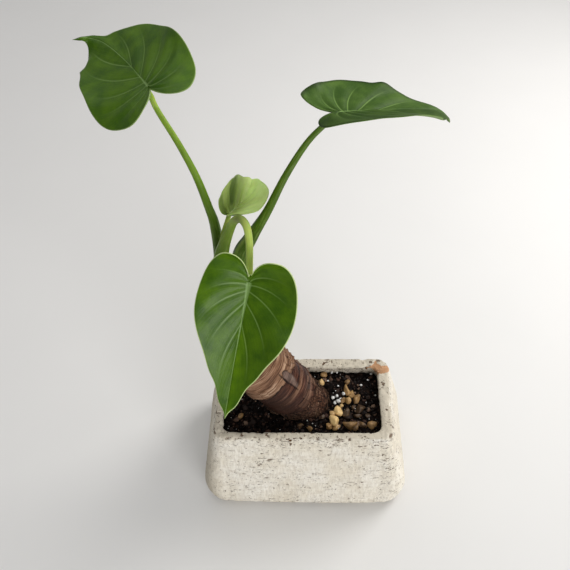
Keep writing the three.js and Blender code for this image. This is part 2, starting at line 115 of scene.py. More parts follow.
def pathFrames(centre):
    # two directions across a path at each step: the cross product of its heading with the x axis,
    # and the third direction that completes the two
    heading = np.gradient(centre, axis=0)
    heading /= np.linalg.norm(heading, axis=1, keepdims=True)
    first = np.cross(heading, [1, 0, 0])
    first /= np.linalg.norm(first, axis=1, keepdims=True)
    return first, np.cross(heading, first)


def ringRows(centre, first, second, radius, angles):
    # a ring of points round each step of a path; radius is one number for each point of each ring
    turned = np.cos(angles)[..., None] * first[:, None] + np.sin(angles)[..., None] * second[:, None]
    return centre[:, None] + radius[..., None] * turned


def gridNormals(rows):
    # direction out of a grid that closes on itself sideways, from its two slopes
    across = np.roll(rows, -1, axis=1) - np.roll(rows, 1, axis=1)
    upward = np.gradient(rows, axis=0)
    normals = np.cross(across, upward)
    return normals / np.maximum(np.linalg.norm(normals, axis=-1, keepdims=True), 1e-9)


def skinFaces(rows, columns):
    # quads between neighbouring rings, and a fan from a middle point that closes each end
    index = np.arange(rows * columns).reshape(rows, columns)
    beside = np.roll(index, -1, axis=1)
    quads = np.stack([index[:-1], beside[:-1], beside[1:], index[1:]], axis=-1).reshape(-1, 4)
    start, end = rows * columns, rows * columns + 1
    first = np.stack([np.full(columns, start), beside[0], index[0]], axis=-1)
    last = np.stack([np.full(columns, end), index[-1], beside[-1]], axis=-1)
    return quads, np.vstack([first, last])


def addSkin(name, skins, material, replaced=(), values=None):
    # one object from one or more closed skins of rings; each value is kept as an attribute
    points, faces, kept = [], [], {key: [] for key in values or {}}
    total = 0
    for i, rows in enumerate(skins):
        quads, fans = skinFaces(*rows.shape[:2])
        faces += (quads + total).tolist() + (fans + total).tolist()
        points.append(np.vstack([rows.reshape(-1, 3), rows[0].mean(axis=0), rows[-1].mean(axis=0)]))
        for key, value in (values or {}).items():
            field = np.broadcast_to(value[i], rows.shape[:2])
            kept[key].append(np.concatenate([field.ravel(), [field[0].mean(), field[-1].mean()]]))
        total += len(points[-1])
    mesh = bpy.data.meshes.new(name)
    mesh.from_pydata(np.vstack(points) * mm, [], faces)
    for key, parts in kept.items():
        mesh.attributes.new(key, "FLOAT", "POINT").data.foreach_set("value", np.concatenate(parts))
    mesh.shade_smooth()
    mesh.materials.append(material)
    piece = bpy.data.objects.new(name, mesh)
    bpy.context.scene.collection.objects.link(piece)
    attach(piece, "root")
    if replaced:
        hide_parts(*replaced)
    return piece


def addGrain(piece, skins):
    # a place for each point on which the streaks of bark and stalks are drawn
    grain = [np.vstack([rows.reshape(-1, 3), rows[0].mean(axis=0), rows[-1].mean(axis=0)]) for rows in skins]
    field = piece.data.attributes.new("grain", "FLOAT_VECTOR", "POINT")
    field.data.foreach_set("vector", np.vstack(grain).ravel())


# Material nodes

def newMaterial(name):
    material = bpy.data.materials.new(name)
    material.use_nodes = True
    return material, material.node_tree, material.node_tree.nodes["Principled BSDF"]


def addNode(tree, kind, inputs=None, **settings):
    # an input that is another node's output is linked, and any other is set
    node = tree.nodes.new("ShaderNode" + kind)
    for key, value in settings.items():
        setattr(node, key, value)
    for socket, value in (inputs or {}).items():
        if isinstance(value, bpy.types.NodeSocket):
            tree.links.new(value, node.inputs[socket])
        else:
            node.inputs[socket].default_value = value
    return node


def readValue(tree, name):
    return addNode(tree, "Attribute", attribute_name=name).outputs["Fac"]


def objectPlace(tree, scale=(1, 1, 1)):
    place = addNode(tree, "TexCoord").outputs["Object"]
    return addNode(tree, "Mapping", {"Vector": place, "Scale": scale}).outputs["Vector"]


def noiseOf(tree, place, size, detail, roughness):
    # size is that of one lump, in metres
    return addNode(tree, "TexNoise", {"Vector": place, "Scale": 1 / size, "Detail": detail,
                   "Roughness": roughness}).outputs["Fac"]


def calc(tree, operation, first, second=0.0):
    return addNode(tree, "Math", {0: first, 1: second}, operation=operation).outputs[0]


def remap(tree, value, fromLow, fromHigh, toLow=0.0, toHigh=1.0):
    return addNode(tree, "MapRange", {"Value": value, "From Min": fromLow, "From Max": fromHigh,
                   "To Min": toLow, "To Max": toHigh},
                   interpolation_type="SMOOTHSTEP").outputs["Result"]


def mixColour(tree, share, first, second, blend="MIX"):
    node = addNode(tree, "Mix", {0: share}, data_type="RGBA", blend_type=blend)
    for socket, value in ((6, first), (7, second)):
        if isinstance(value, bpy.types.NodeSocket):
            tree.links.new(value, node.inputs[socket])
        else:
            node.inputs[socket].default_value = (*value, 1)
    return node.outputs[2]


def rampOf(tree, value, stops):
    ramp = addNode(tree, "ValToRGB", {"Fac": value})
    elements = ramp.color_ramp.elements
    elements[0].position, elements[0].color = stops[0][0], (*stops[0][1], 1)
    elements[1].position, elements[1].color = stops[-1][0], (*stops[-1][1], 1)
    for position, colour in stops[1:-1]:
        elements.new(position).color = (*colour, 1)
    return ramp.outputs["Color"]


def bumpOf(tree, height, distance, strength=1.0, below=None):
    inputs = {"Height": height, "Distance": distance, "Strength": strength}
    if below is not None:
        inputs["Normal"] = below
    return addNode(tree, "Bump", inputs).outputs["Normal"]


def setShader(tree, shader, **inputs):
    for name, value in inputs.items():
        socket = shader.inputs[{"colour": "Base Color", "roughness": "Roughness", "normal": "Normal",
                                "gloss": "Specular IOR Level", "scatter": "Subsurface Weight",
                                "scatterScale": "Subsurface Scale"}[name]]
        if isinstance(value, bpy.types.NodeSocket):
            tree.links.new(value, socket)
        else:
            socket.default_value = value


# Pot: rough cream stoneware

pot = {
    "wallColour": (0.78, 0.72, 0.605),
    "paleColour": (0.86, 0.82, 0.735),
    # the rim's own beige-grey, made darker still as painted shade
    "rimToneAndShadeColour": (0.60, 0.535, 0.43),
    "pitColour": (0.10, 0.050, 0.022),
    "rawColours": ((0.50, 0.27, 0.14), (0.56, 0.32, 0.18)),
    "grainColour": (0.52, 0.45, 0.35),
    "stainColour": (0.36, 0.27, 0.18),
    # painted shade for the left wall, which is turned from the light
    "leftWallShadeColour": (0.40, 0.35, 0.26),
    "wobble": 0.5,
    "pitDepth": 0.7,
    "pitSize": 5.5,
    "chipAt": (65, 26.8, 88),
    "chipReach": 7.5,
    # broken places at the rim's edge and corners: x, y, z and reach
    "nicks": [(69.5, -33.5, 86.5, 3.4), (70.4, -26, 87, 1.8), (70.5, -12, 87.2, 1.5), (62, 35.5, 87.5, 2.2),
              (-58, -37, 87.3, 2.0), (-20, -37.5, 87, 1.7), (12, -37.4, 87, 1.9), (36, -37.3, 87, 1.6),
              (-69.5, -31, 86.8, 1.8), (20, 36.5, 87.6, 2.2), (-66, 33, 87, 2.4)],
    "longSteps": 120,
    "shortSteps": 58,
    "cornerSteps": 24,
    # height, half size in x, half size in y, corner radius, offset in x, offset in y
    "outside": [(0, 76.5, 46.8, 16), (1.2, 80, 50, 17), (4, 82.5, 52.1, 18), (9, 84.2, 53.1, 18),
                (17, 84.9, 53.1, 17), (30, 83.2, 50.8, 15), (56, 77.4, 44.6, 13), (84.5, 70.8, 37.9, 10),
                (87.2, 69.9, 37, 9.6), (88, 68.8, 35.9, 9)],
    # the underside's half size in x, half size in y and corner radius
    "underside": (76, 43.5, 16),
    # the opening at the rim: half size in x, half size in y, corner radius, offset in x, offset in y
    "opening": (60.75, 28.5, 6, -0.75, -1.5),
    "height": 88,
    # how much wider each side of the opening grows for each millimetre down
    "flare": 0.2,
    "floor": 8,
}


def cornerColumns(longSteps, shortSteps, cornerSteps):
    # round the rectangle, counter-clockwise from the right side: the share of each half size that a
    # column sits at, and the direction it faces
    signX, signY, facing = [], [], []
    corners = [(1, 1), (-1, 1), (-1, -1), (1, -1)]
    for quarter, (sx, sy) in enumerate(corners):
        angles = (quarter + np.linspace(0, 1, cornerSteps)) * math.pi / 2
        nextX, nextY = corners[(quarter + 1) % 4]
        steps = longSteps if quarter % 2 == 0 else shortSteps
        run = np.linspace(0, 1, steps + 2)[1:-1]
        signX += [np.full(cornerSteps, sx), sx + (nextX - sx) * run]
        signY += [np.full(cornerSteps, sy), sy + (nextY - sy) * run]
        facing += [angles, np.full(steps, angles[-1])]
    return np.concatenate(signX), np.concatenate(signY), np.concatenate(facing)


def boxRows(levels, columns):
    # a rounded rectangle at each level (z, x, y, corner, offsetX, offsetY)
    signX, signY, facing = columns
    z, x, y, corner, offsetX, offsetY = (levels[:, k, None] for k in range(6))
    px = signX * (x - corner) + corner * np.cos(facing) + offsetX
    py = signY * (y - corner) + corner * np.sin(facing) + offsetY
    return np.stack([px, py, np.broadcast_to(z, px.shape)], axis=-1)


def evenLevels(levels, spacing, rounds):
    # levels at even steps along the profile, with its edges softened by averaging neighbours
    levels = np.asarray(levels, float)
    length = np.concatenate([[0], np.cumsum(np.hypot(*np.diff(levels[:, :2], axis=0).T))])
    even = np.linspace(0, length[-1], int(length[-1] / spacing) + 1)
    fine = np.stack([np.interp(even, length, levels[:, k]) for k in range(6)], axis=-1)
    for _ in range(rounds):
        fine[1:-1] = (fine[:-2] + 2 * fine[1:-1] + fine[2:]) / 4
    return fine


def potInside(z, clearance=0):
    x, y, corner, offsetX, offsetY = pot["opening"]
    spread = pot["flare"] * (pot["height"] - z) - clearance
    return (z, x + spread, y + spread, corner, offsetX, offsetY)


def makePotMaterial():
    material, tree, shader = newMaterial("roughCreamStoneware")
    place = objectPlace(tree)
    clouds = noiseOf(tree, place, 0.03, 5, 0.65)
    colour = mixColour(tree, remap(tree, clouds, 0.35, 0.68), pot["wallColour"], pot["paleColour"])
    upright = noiseOf(tree, objectPlace(tree, (1, 1, 0.16)), 0.0019, 3, 0.6)
    level = noiseOf(tree, objectPlace(tree, (0.14, 0.14, 1)), 0.0016, 3, 0.6)
    woven = calc(tree, "ADD", calc(tree, "MULTIPLY", upright, 0.6), calc(tree, "MULTIPLY", level, 0.4))
    colour = mixColour(tree, remap(tree, woven, 0.42, 0.56, 0.32, 0), colour, pot["grainColour"])
    rim = readValue(tree, "rim")
    # the rim's top and the inside walls take a darker colour: partly the rim's beige-grey, partly painted
    # shade
    colour = mixColour(tree, calc(tree, "MULTIPLY", rim, 0.85), colour, pot["rimToneAndShadeColour"])
    stains = noiseOf(tree, place, 0.007, 5, 0.65)
    colour = mixColour(tree, remap(tree, stains, 0.58, 0.76, 0, 0.4), colour, pot["stainColour"])
    # painted shade: the left wall is darkened
    colour = mixColour(tree, readValue(tree, "leftWallShade"), colour, pot["leftWallShadeColour"])
    # fine pits and short level scratches, thicker where the wear attribute says
    wear = readValue(tree, "wear")
    patch = calc(tree, "MULTIPLY", calc(tree, "SUBTRACT", noiseOf(tree, place, 0.013, 4, 0.65), 0.5), 0.22)
    more = calc(tree, "ADD", calc(tree, "MULTIPLY", wear, 0.07), patch)
    small = noiseOf(tree, objectPlace(tree, (0.5, 0.5, 1)), 0.0011, 3, 0.6)
    long = noiseOf(tree, objectPlace(tree, (0.2, 0.2, 1.2)), 0.0015, 3, 0.6)
    large = noiseOf(tree, objectPlace(tree, (0.45, 0.45, 0.9)), 0.0017, 2, 0.5)
    pits = remap(tree, calc(tree, "ADD", small, more), 0.643, 0.695)
    lines = remap(tree, calc(tree, "ADD", long, more), 0.665, 0.705)
    pockets = remap(tree, calc(tree, "ADD", large, more), 0.70, 0.745)
    marks = calc(tree, "MULTIPLY", calc(tree, "MAXIMUM", pits, lines), 0.85)
    marks = calc(tree, "MAXIMUM", marks, pockets)
    marks = calc(tree, "MAXIMUM", marks, readValue(tree, "pit"))
    colour = mixColour(tree, marks, colour, pot["pitColour"])
    raw = noiseOf(tree, place, 0.003, 4, 0.65)
    raw = mixColour(tree, remap(tree, raw, 0.35, 0.65), *pot["rawColours"])
    colour = mixColour(tree, remap(tree, readValue(tree, "chip"), 0.3, 0.5), colour, raw)
    normal = bumpOf(tree, noiseOf(tree, place, 0.0012, 4, 0.7), 0.0006, 0.7)
    normal = bumpOf(tree, woven, 0.0016, 0.9, normal)
    normal = bumpOf(tree, calc(tree, "SUBTRACT", 1, marks), 0.0006, 0.8, normal)
    setShader(tree, shader, colour=colour, roughness=0.88, normal=normal, gloss=0.2)
    return material


def makePot():
    columns = cornerColumns(pot["longSteps"], pot["shortSteps"], pot["cornerSteps"])
    height = pot["height"]
    x, y, corner, offsetX, offsetY = pot["opening"]
    outside = [(*level, 0, 0) for level in pot["outside"]]
    rim = [(height, x + 1.3, y + 1.3, corner, offsetX, offsetY), potInside(height - 1.3),
           potInside(height - 15)]
    base = [(0, *(share * size for size in pot["underside"]), 0, 0) for share in (0.4, 0.7, 0.9)]
    below = [potInside(z) for z in (60, 40, 26, pot["floor"] + 6)]
    floor = [(pot["floor"], *(share * (side + 11) for side in (x, y)), corner * share, offsetX, offsetY)
             for share in (1, 0.7, 0.35)]
    levels = np.vstack([base, evenLevels(outside + rim, 0.95, 3), below, floor])
    rows = boxRows(levels, columns)
    # hand-made unevenness, then pits and chips pressed in along the outward direction
    normals = gridNormals(rows)
    wobble = pot["wobble"] * (lumpNoise(rows, 46, 3) + 0.4 * lumpNoise(rows, 15, 4))
    seen = softStep(rows[..., 2], 0, 2) * (np.arange(len(rows)) < len(rows) - 8)[:, None]
    shaken = rows + 1.3 * np.stack([lumpNoise(rows, 2.6, seed) for seed in (23, 24, 25)], axis=-1)
    distance, number = scatterNoise(shaken * [0.42, 0.42, 1.0], pot["pitSize"], 21)
    # how worn each place is: more at the ends, at the rim and below it, at the foot and at the
    # front's right end
    zone = lumpNoise(rows, 26, 8)
    outer = np.maximum(np.abs(rows[..., 0]) - 60, 0) / 30
    nearRim = np.exp(-((rows[..., 2] - 86.3) / 2.2) ** 2)
    nearFoot = np.exp(-((rows[..., 2] - 6) / 7) ** 2)
    underRim = softStep(rows[..., 2], 72, 79) * (1 - softStep(rows[..., 2], 85, 87))
    rightFront = np.exp(-((rows[..., 0] - 66) / 9) ** 2 - ((rows[..., 1] + 44) / 9) ** 2
                        - ((rows[..., 2] - 62) / 22) ** 2)
    wear = np.clip(0.3 * zone + 0.2 * outer + 0.6 * nearRim + 0.55 * nearFoot + 0.45 * underRim
                   + 0.9 * rightFront, 0, 1)
    pit = (1 - softStep(distance, 0.08, 0.19)) * (number < 0.10 + 0.30 * wear)
    for *middle, reach in pot["nicks"]:
        away = np.linalg.norm(rows - middle, axis=-1) + 1.1 * lumpNoise(rows, 1.8, 19)
        pit = np.maximum(pit, 0.85 * (1 - softStep(away, 0.45 * reach, reach)))
    chip = 1 - softStep(np.linalg.norm((rows - pot["chipAt"]) * [0.62, 1.5, 1.5], axis=-1)
                        + 4.5 * roughNoise(rows, 4, 12), pot["chipReach"] - 2, pot["chipReach"])
    ragged = nearRim * np.maximum(lumpNoise(rows, 3.5, 14) - 0.35, 0)
    press = pot["pitDepth"] * pit + 1.1 * chip * (0.6 + 0.5 * lumpNoise(rows, 2.5, 15)) + 2.4 * ragged
    # bevels beside the front face's ends, and the grain of the slab
    bevel = sum(0.45 * np.exp(-((rows[..., 0] - at) / 2.2) ** 2) for at in (-63, 62)) * (rows[..., 1] < 0)
    fine = 0.16 * lumpNoise(rows, 2.2, 16) + 0.14 * lumpNoise(rows * [1, 1, 0.3], 1.5, 17) - bevel
    fine = fine + 0.55 * underRim * lumpNoise(rows * [1, 1, 0.35], 2.6, 18)
    bow = 1.6 * (1 - (rows[..., 0] / 85) ** 2) * (rows[..., 1] < 0) * (1 - softStep(rows[..., 2], 6, 40))
    rows = rows + normals * (seen * (wobble - 0.35 + fine - press))[..., None]
    rows[..., 1] -= bow * softStep(np.abs(normals[..., 1]), 0.1, 0.6)
    rows[..., 2] = np.clip(rows[..., 2], 0, height)
    level = np.broadcast_to(levels[:, 0, None], rows.shape[:2])
    # the rim's top, found by facing up, and the inside walls get the darker rim colour, partly painted shade
    facingUp = np.abs(gridNormals(rows)[..., 2])
    onRim = softStep(facingUp, 0.5, 0.8) * (level > height - 3)
    inner = (np.arange(len(rows)) > len(levels) - 24)[:, None] * np.ones(rows.shape[1])
    # painted shade over the left wall, below the rim's top
    leftWallShade = 0.5 * softStep(-rows[..., 0], 66, 82) * softStep(height - level, 2, 8)
    values = {"wear": [wear], "pit": [pit * seen], "chip": [chip], "rim": [np.maximum(onRim, inner)],
              "leftWallShade": [leftWallShade]}
    piece = addSkin("stonewarePot", [rows], makePotMaterial(), ["pot"], values)
    print("pot:", len(piece.data.polygons), "faces")
    return piece


makePot()


# Soil, crumbs, perlite and gravel

soil = {
    # colour ramps: place on the ramp, and the colour there
    "tones": [(0.35, (0.002, 0.001, 0.001)), (0.55, (0.006, 0.003, 0.0022)), (0.72, (0.045, 0.022, 0.015))],
    "crumbTones": [(0.0, (0.002, 0.001, 0.001)), (0.55, (0.012, 0.006, 0.004)),
                   (0.85, (0.060, 0.026, 0.016)), (1.0, (0.20, 0.13, 0.09))],
    "perliteColours": ((0.78, 0.77, 0.74), (0.93, 0.93, 0.92)),
    "perliteDirt": (0.16, 0.14, 0.12),
    "top": 78,
    # the mound's height, reach and place, and for each wave its height, turn for each millimetre in x
    # and in y, and its start
    "mound": (4, 30, -2, 2),
    "waves": [(0.4, 0.33, 0.37, 1), (0.4, 0.33, -0.37, 1), (0.6, 0.71, -0.52, 0)],
    "gap": 0.3,
    # the oval hole for the trunk's foot: x, y, half size in x and half size in y
    "foot": (1.5, 3.6, 24, 19.5),
    # from where to where crumbs and perlite lie
    "reachX": (-61, 59.5),
    "reachY": (-29, 26),
    "crumbs": 1700,
    # the smallest and the largest crumb
    "crumbSize": (0.7, 3.0),
    "barkChips": 90,
    # for each bit of perlite: x, y and size
    "perlite": [(23.6, 28, 3.2), (27.9, 28.3, 2.8), (56.4, 27, 3.0), (32.9, 6.9, 3.4), (27.5, 5, 3.2),
                (28.2, -0.1, 5.4), (24.2, 3.2, 3.4), (25.6, -1.4, 3.0), (30.2, 2.4, 2.6),
                (20.4, 19.7, 2.2), (28.6, 15.4, 2), (47.6, 16.4, 2.6), (53.3, 21.2, 1.8),
                (58.8, 6.9, 2), (36.3, -7.8, 1.9)],
    "strayPerlite": 70,
}
stones = {
    "dark": (0.055, 0.028, 0.011),
    "tan": (0.36, 0.205, 0.075),
    "pale": (0.76, 0.52, 0.23),
    # for each stone: x, y, length, breadth, the way its long axis points in degrees, and its tone
    "heaps": {
        "gravel_front": [(20.5, -22.5, 6.4, 5.6, 20, 0.45), (26.5, -22.2, 7.2, 4.6, 10, 0.55),
                         (24.9, -17.2, 9.6, 7.0, 130, 0.95), (23.1, -11.1, 6, 5.4, 40, 0.6),
                         (27.9, -9.3, 11.0, 6.4, 95, 0.85), (34.3, -9.3, 8, 6.4, 60, 0.12)],
        "gravel_corner": [(37.5, -20.4, 11.5, 7.4, 170, 0.32), (41.6, -22.3, 6, 5, 30, 0.2),
                          (46.5, -20.7, 8.4, 6, 165, 0.15), (54.2, -20.4, 8.4, 6.4, 15, 0.4)],
        "gravel_middle": [(35.6, 11, 9.4, 5.2, 100, 0.55), (39.8, 8.2, 7.2, 5, 70, 0.5),
                          (43.2, 2.6, 9.4, 7.6, 60, 0.34), (36.3, 1.7, 6.6, 5, 110, 0.55),
                          (32.3, 1.7, 6, 4.6, 50, 0.35)],
    },
    "alone": [(17.2, 26.4, 6.2, 5.4, 30, 0.5), (14.6, 17.6, 6.0, 4.6, 100, 0.75),
              (36.7, 18.6, 5.6, 4.6, 60, 0.3), (4.8, -24, 6.5, 3.8, 140, 0.35),
              (-1.6, -21.8, 5.4, 4.2, 20, 0.12),
              (-29, 23.5, 5.2, 4.4, 80, 0.2), (-50, -13, 5.6, 4.6, 50, 0.3), (46, -6, 10, 6.5, 30, 0.03),
              (31, -3.5, 5, 3.4, 80, 0.8), (43, -12, 7, 4.6, 10, 0.08), (51.5, -12, 5.4, 4, 70, 0.05),
              (15.5, -14, 5, 3.6, 50, 0.04), (40.5, -4.5, 5, 4, 150, 0.1)],
}


def soilHeight(x, y):
    # flat top, a low mound round the trunk, and three crossing waves
    height, reach, mx, my = soil["mound"]
    mound = height * np.exp(-((x - mx) ** 2 + (y - my) ** 2) / reach ** 2)
    return soil["top"] + mound + sum(h * np.sin(kx * x + ky * y + p) for h, kx, ky, p in soil["waves"])


def makeSoilMaterial():
    material, tree, shader = newMaterial("darkPottingSoil")
    place = objectPlace(tree)
    colour = rampOf(tree, noiseOf(tree, place, 0.004, 5, 0.65), soil["tones"])
    setShader(tree, shader, colour=colour, roughness=0.9, gloss=0.12,
              normal=bumpOf(tree, noiseOf(tree, place, 0.0012, 4, 0.7), 0.0008, 0.9))
    return material


def makeCrumbMaterial():
    material, tree, shader = newMaterial("soilCrumbs")
    colour = rampOf(tree, readValue(tree, "tone"), soil["crumbTones"])
    setShader(tree, shader, colour=colour, roughness=0.7, gloss=0.25,
              normal=bumpOf(tree, noiseOf(tree, objectPlace(tree), 0.0008, 3, 0.7), 0.0004, 0.8))
    return material


def makePerliteMaterial():
    material, tree, shader = newMaterial("whitePerlite")
    place = objectPlace(tree)
    colour = mixColour(tree, noiseOf(tree, place, 0.0015, 3, 0.6), *soil["perliteColours"])
    colour = mixColour(tree, readValue(tree, "dirt"), colour, soil["perliteDirt"])
    setShader(tree, shader, colour=colour, roughness=0.9,
              normal=bumpOf(tree, noiseOf(tree, place, 0.0006, 3, 0.7), 0.0003, 0.8))
    return material


def makeStoneMaterial():
    material, tree, shader = newMaterial("tanGravel")
    place = objectPlace(tree)
    mottle = calc(tree, "MULTIPLY", calc(tree, "SUBTRACT", noiseOf(tree, place, 0.003, 4, 0.6), 0.5), 0.7)
    tone = calc(tree, "ADD", readValue(tree, "tone"), mottle)
    colour = rampOf(tree, tone, [(0.1, stones["dark"]), (0.5, stones["tan"]), (0.9, stones["pale"])])
    normal = bumpOf(tree, noiseOf(tree, place, 0.0009, 3, 0.6), 0.0003, 0.6)
    setShader(tree, shader, colour=colour, roughness=0.5, gloss=0.45, normal=normal)
    return material


def sphereRows(rows, columns):
    # unit sphere as rings from the lowest to the highest, without the poles
    rise = np.linspace(-math.pi / 2, math.pi / 2, rows + 2)[1:-1, None]
    turn = np.linspace(0, 2 * math.pi, columns, endpoint=False)[None]
    return np.stack([np.cos(rise) * np.cos(turn), np.cos(rise) * np.sin(turn),
                     np.sin(rise) + 0 * turn], axis=-1)


def stoneRows(x, y, long, broad, turn, random, rows=16, columns=24):
    # a sphere cut by flat faces at random tilts, with their edges rounded by a power mean, then
    # drawn out along one axis, tilted and turned
    ball = sphereRows(rows, columns)
    faces = random.normal(size=(9, 3))
    faces /= np.linalg.norm(faces, axis=1, keepdims=True)
    depth = random.uniform(0.5, 0.9, 9)
    cuts = np.maximum(ball @ faces.T, 0) / depth
    radius = (np.sum(cuts ** 28, axis=-1) + 1) ** (-1 / 28)
    # one end is narrower than the other
    taper = 1 - random.uniform(0.1, 0.4) * ball[..., :1]
    shape = ball * radius[..., None] * np.array([long, broad, 0.9 * broad]) / 2 * 1.12
    shape = shape * np.concatenate([np.ones_like(taper), taper, taper], axis=-1)
    lean, turn = random.uniform(-0.35, 0.35), math.radians(turn)
    cos, sin = math.cos(lean), math.sin(lean)
    shape = shape @ np.array([[cos, 0, sin], [0, 1, 0], [-sin, 0, cos]])
    cos, sin = math.cos(turn), math.sin(turn)
    turned = shape @ np.array([[cos, sin, 0], [-sin, cos, 0], [0, 0, 1]])
    turned = turned + 0.05 * broad * lumpNoise(turned, 0.3 * broad, 53)[..., None] * ball
    return turned + [x, y, soilHeight(x, y) + 0.2 * broad]


def footShare(x, y):
    # distance from the middle of the oval hole for the trunk's foot, 1 on its edge
    middleX, middleY, reachX, reachY = soil["foot"]
    return np.hypot((x - middleX) / reachX, (y - middleY) / reachY)


def makeSoil():
    columns = cornerColumns(130, 66, 18)
    corner, offsetX, offsetY = pot["opening"][2:]
    gap = soil["gap"]
    low = potInside(pot["floor"] + 6, gap)
    bottom = (pot["floor"] + gap, low[1] - 5, low[2] - 5, corner, offsetX, offsetY)
    levels = np.array([bottom, low, potInside(40, gap), potInside(66, gap), potInside(75, gap)])
    walls = boxRows(levels, columns)
    edge = boxRows(np.array([potInside(soil["top"], gap)]), columns)[0]
    shares = np.concatenate([np.linspace(1, 0.86, 14), np.linspace(0.86, 0.03, 56)[1:]])
    middle = np.array([offsetX, offsetY, soil["top"]])
    top = middle + (edge - middle) * shares[:, None, None]
    flat = top * [1, 1, 0]
    crumbs = 1.1 * lumpNoise(flat, 4.6, 31) + 0.8 * lumpNoise(flat, 2.1, 32) + 0.4 * lumpNoise(flat, 1.1, 33)
    # the hole for the trunk's foot, an oval because the trunk leans
    hole = 14 * (1 - softStep(footShare(top[..., 0], top[..., 1]), 0.66, 0.86))
    rising = softStep(1 - shares, 0, 0.04)[:, None]
    top[..., 2] = soilHeight(top[..., 0], top[..., 1]) - 0.5 + crumbs * rising - hole
    piece = addSkin("pottingSoil", [np.vstack([walls, top])], makeSoilMaterial(), ["soil"])
    print("soil:", len(piece.data.polygons), "faces")


def scatterOverSoil(count, random):
    # random places on the soil inside the pot and outside the trunk's foot; three times as many are
    # drawn as are wanted, so that enough of them are clear of the foot
    x = random.uniform(*soil["reachX"], count * 3)
    y = random.uniform(*soil["reachY"], count * 3)
    clear = footShare(x, y) > 0.98
    return x[clear][:count], y[clear][:count]


def chunkSkins(place, size, random, flat=1.0):
    # low-sided lumps of random proportions, each turned its own way
    count = len(place)
    ball = sphereRows(4, 6)
    rough = 1 + 0.28 * random.uniform(-1, 1, (count, *ball.shape[:2]))
    stretch = random.uniform(0.5, 1.0, (count, 1, 1, 3)) * (size / 2)[:, None, None, None] * [1, 1, flat]
    turn = random.uniform(0, 2 * math.pi, count)[:, None, None]
    tilt = random.uniform(-0.7, 0.7, count)[:, None, None]
    shape = ball * rough[..., None] * stretch
    leanX = shape[..., 0] * np.cos(tilt) - shape[..., 2] * np.sin(tilt)
    leanZ = shape[..., 0] * np.sin(tilt) + shape[..., 2] * np.cos(tilt)
    px = leanX * np.cos(turn) - shape[..., 1] * np.sin(turn)
    py = leanX * np.sin(turn) + shape[..., 1] * np.cos(turn)
    return list(np.stack([px, py, leanZ], axis=-1) + place[:, None, None])


def onSoil(x, y, size, lift):
    # places on the soil's surface, each sunk or raised by a share of its own size
    return np.stack([x, y, soilHeight(x, y) - 0.4 + lift * size], axis=-1)


def makeCrumbs():
    random = np.random.default_rng(41)
    x, y = scatterOverSoil(soil["crumbs"], random)
    low, high = soil["crumbSize"]
    size = low + (high - low) * random.uniform(0, 1, len(x)) ** 2.2
    tone = random.uniform(0, 1, len(x)) ** 1.6
    addSkin("soilCrumbs", chunkSkins(onSoil(x, y, size, 0.25), size, random), makeCrumbMaterial(),
            values={"tone": tone})
    x, y = scatterOverSoil(soil["barkChips"], random)
    size = random.uniform(3.0, 6.5, len(x))
    tone = 0.55 + 0.45 * random.uniform(0, 1, len(x)) ** 1.5
    addSkin("barkChips", chunkSkins(onSoil(x, y, size, 0.06), size, random, 0.5), makeCrumbMaterial(),
            values={"tone": tone})
    placed = np.array(soil["perlite"])
    strayX, strayY = scatterOverSoil(soil["strayPerlite"], random)
    straySize = random.uniform(0.7, 1.5, len(strayX))
    x = np.concatenate([placed[:, 0], strayX])
    y = np.concatenate([placed[:, 1], strayY])
    size = np.concatenate([placed[:, 2], straySize])
    dirt = np.concatenate([0.05 + 0.25 * random.uniform(0, 1, len(placed)),
                           0.3 + 0.5 * random.uniform(0, 1, len(strayX))])
    addSkin("perlite", chunkSkins(onSoil(x, y, size, 0.5), size, random), makePerliteMaterial(),
            values={"dirt": dirt})
    print("crumbs:", len(x), "bits of perlite")


def makeGravel():
    material = makeStoneMaterial()
    random = np.random.default_rng(52)
    for name, heap in stones["heaps"].items():
        skins = [stoneRows(*stone[:5], random) for stone in heap]
        addSkin(name + "Pebbles", skins, material, [name], {"tone": [stone[5] for stone in heap]})
    skins = [stoneRows(*stone[:5], random) for stone in stones["alone"]]
    tones = [stone[5] for stone in stones["alone"]]
    addSkin("lonePebbles", skins, material, values={"tone": tones})
    print("gravel: three heaps and", len(skins), "lone pebbles")


makeSoil()
makeCrumbs()
makeGravel()


# Trunk: leaning, wrapped in the torn papery sheaths of old leaves

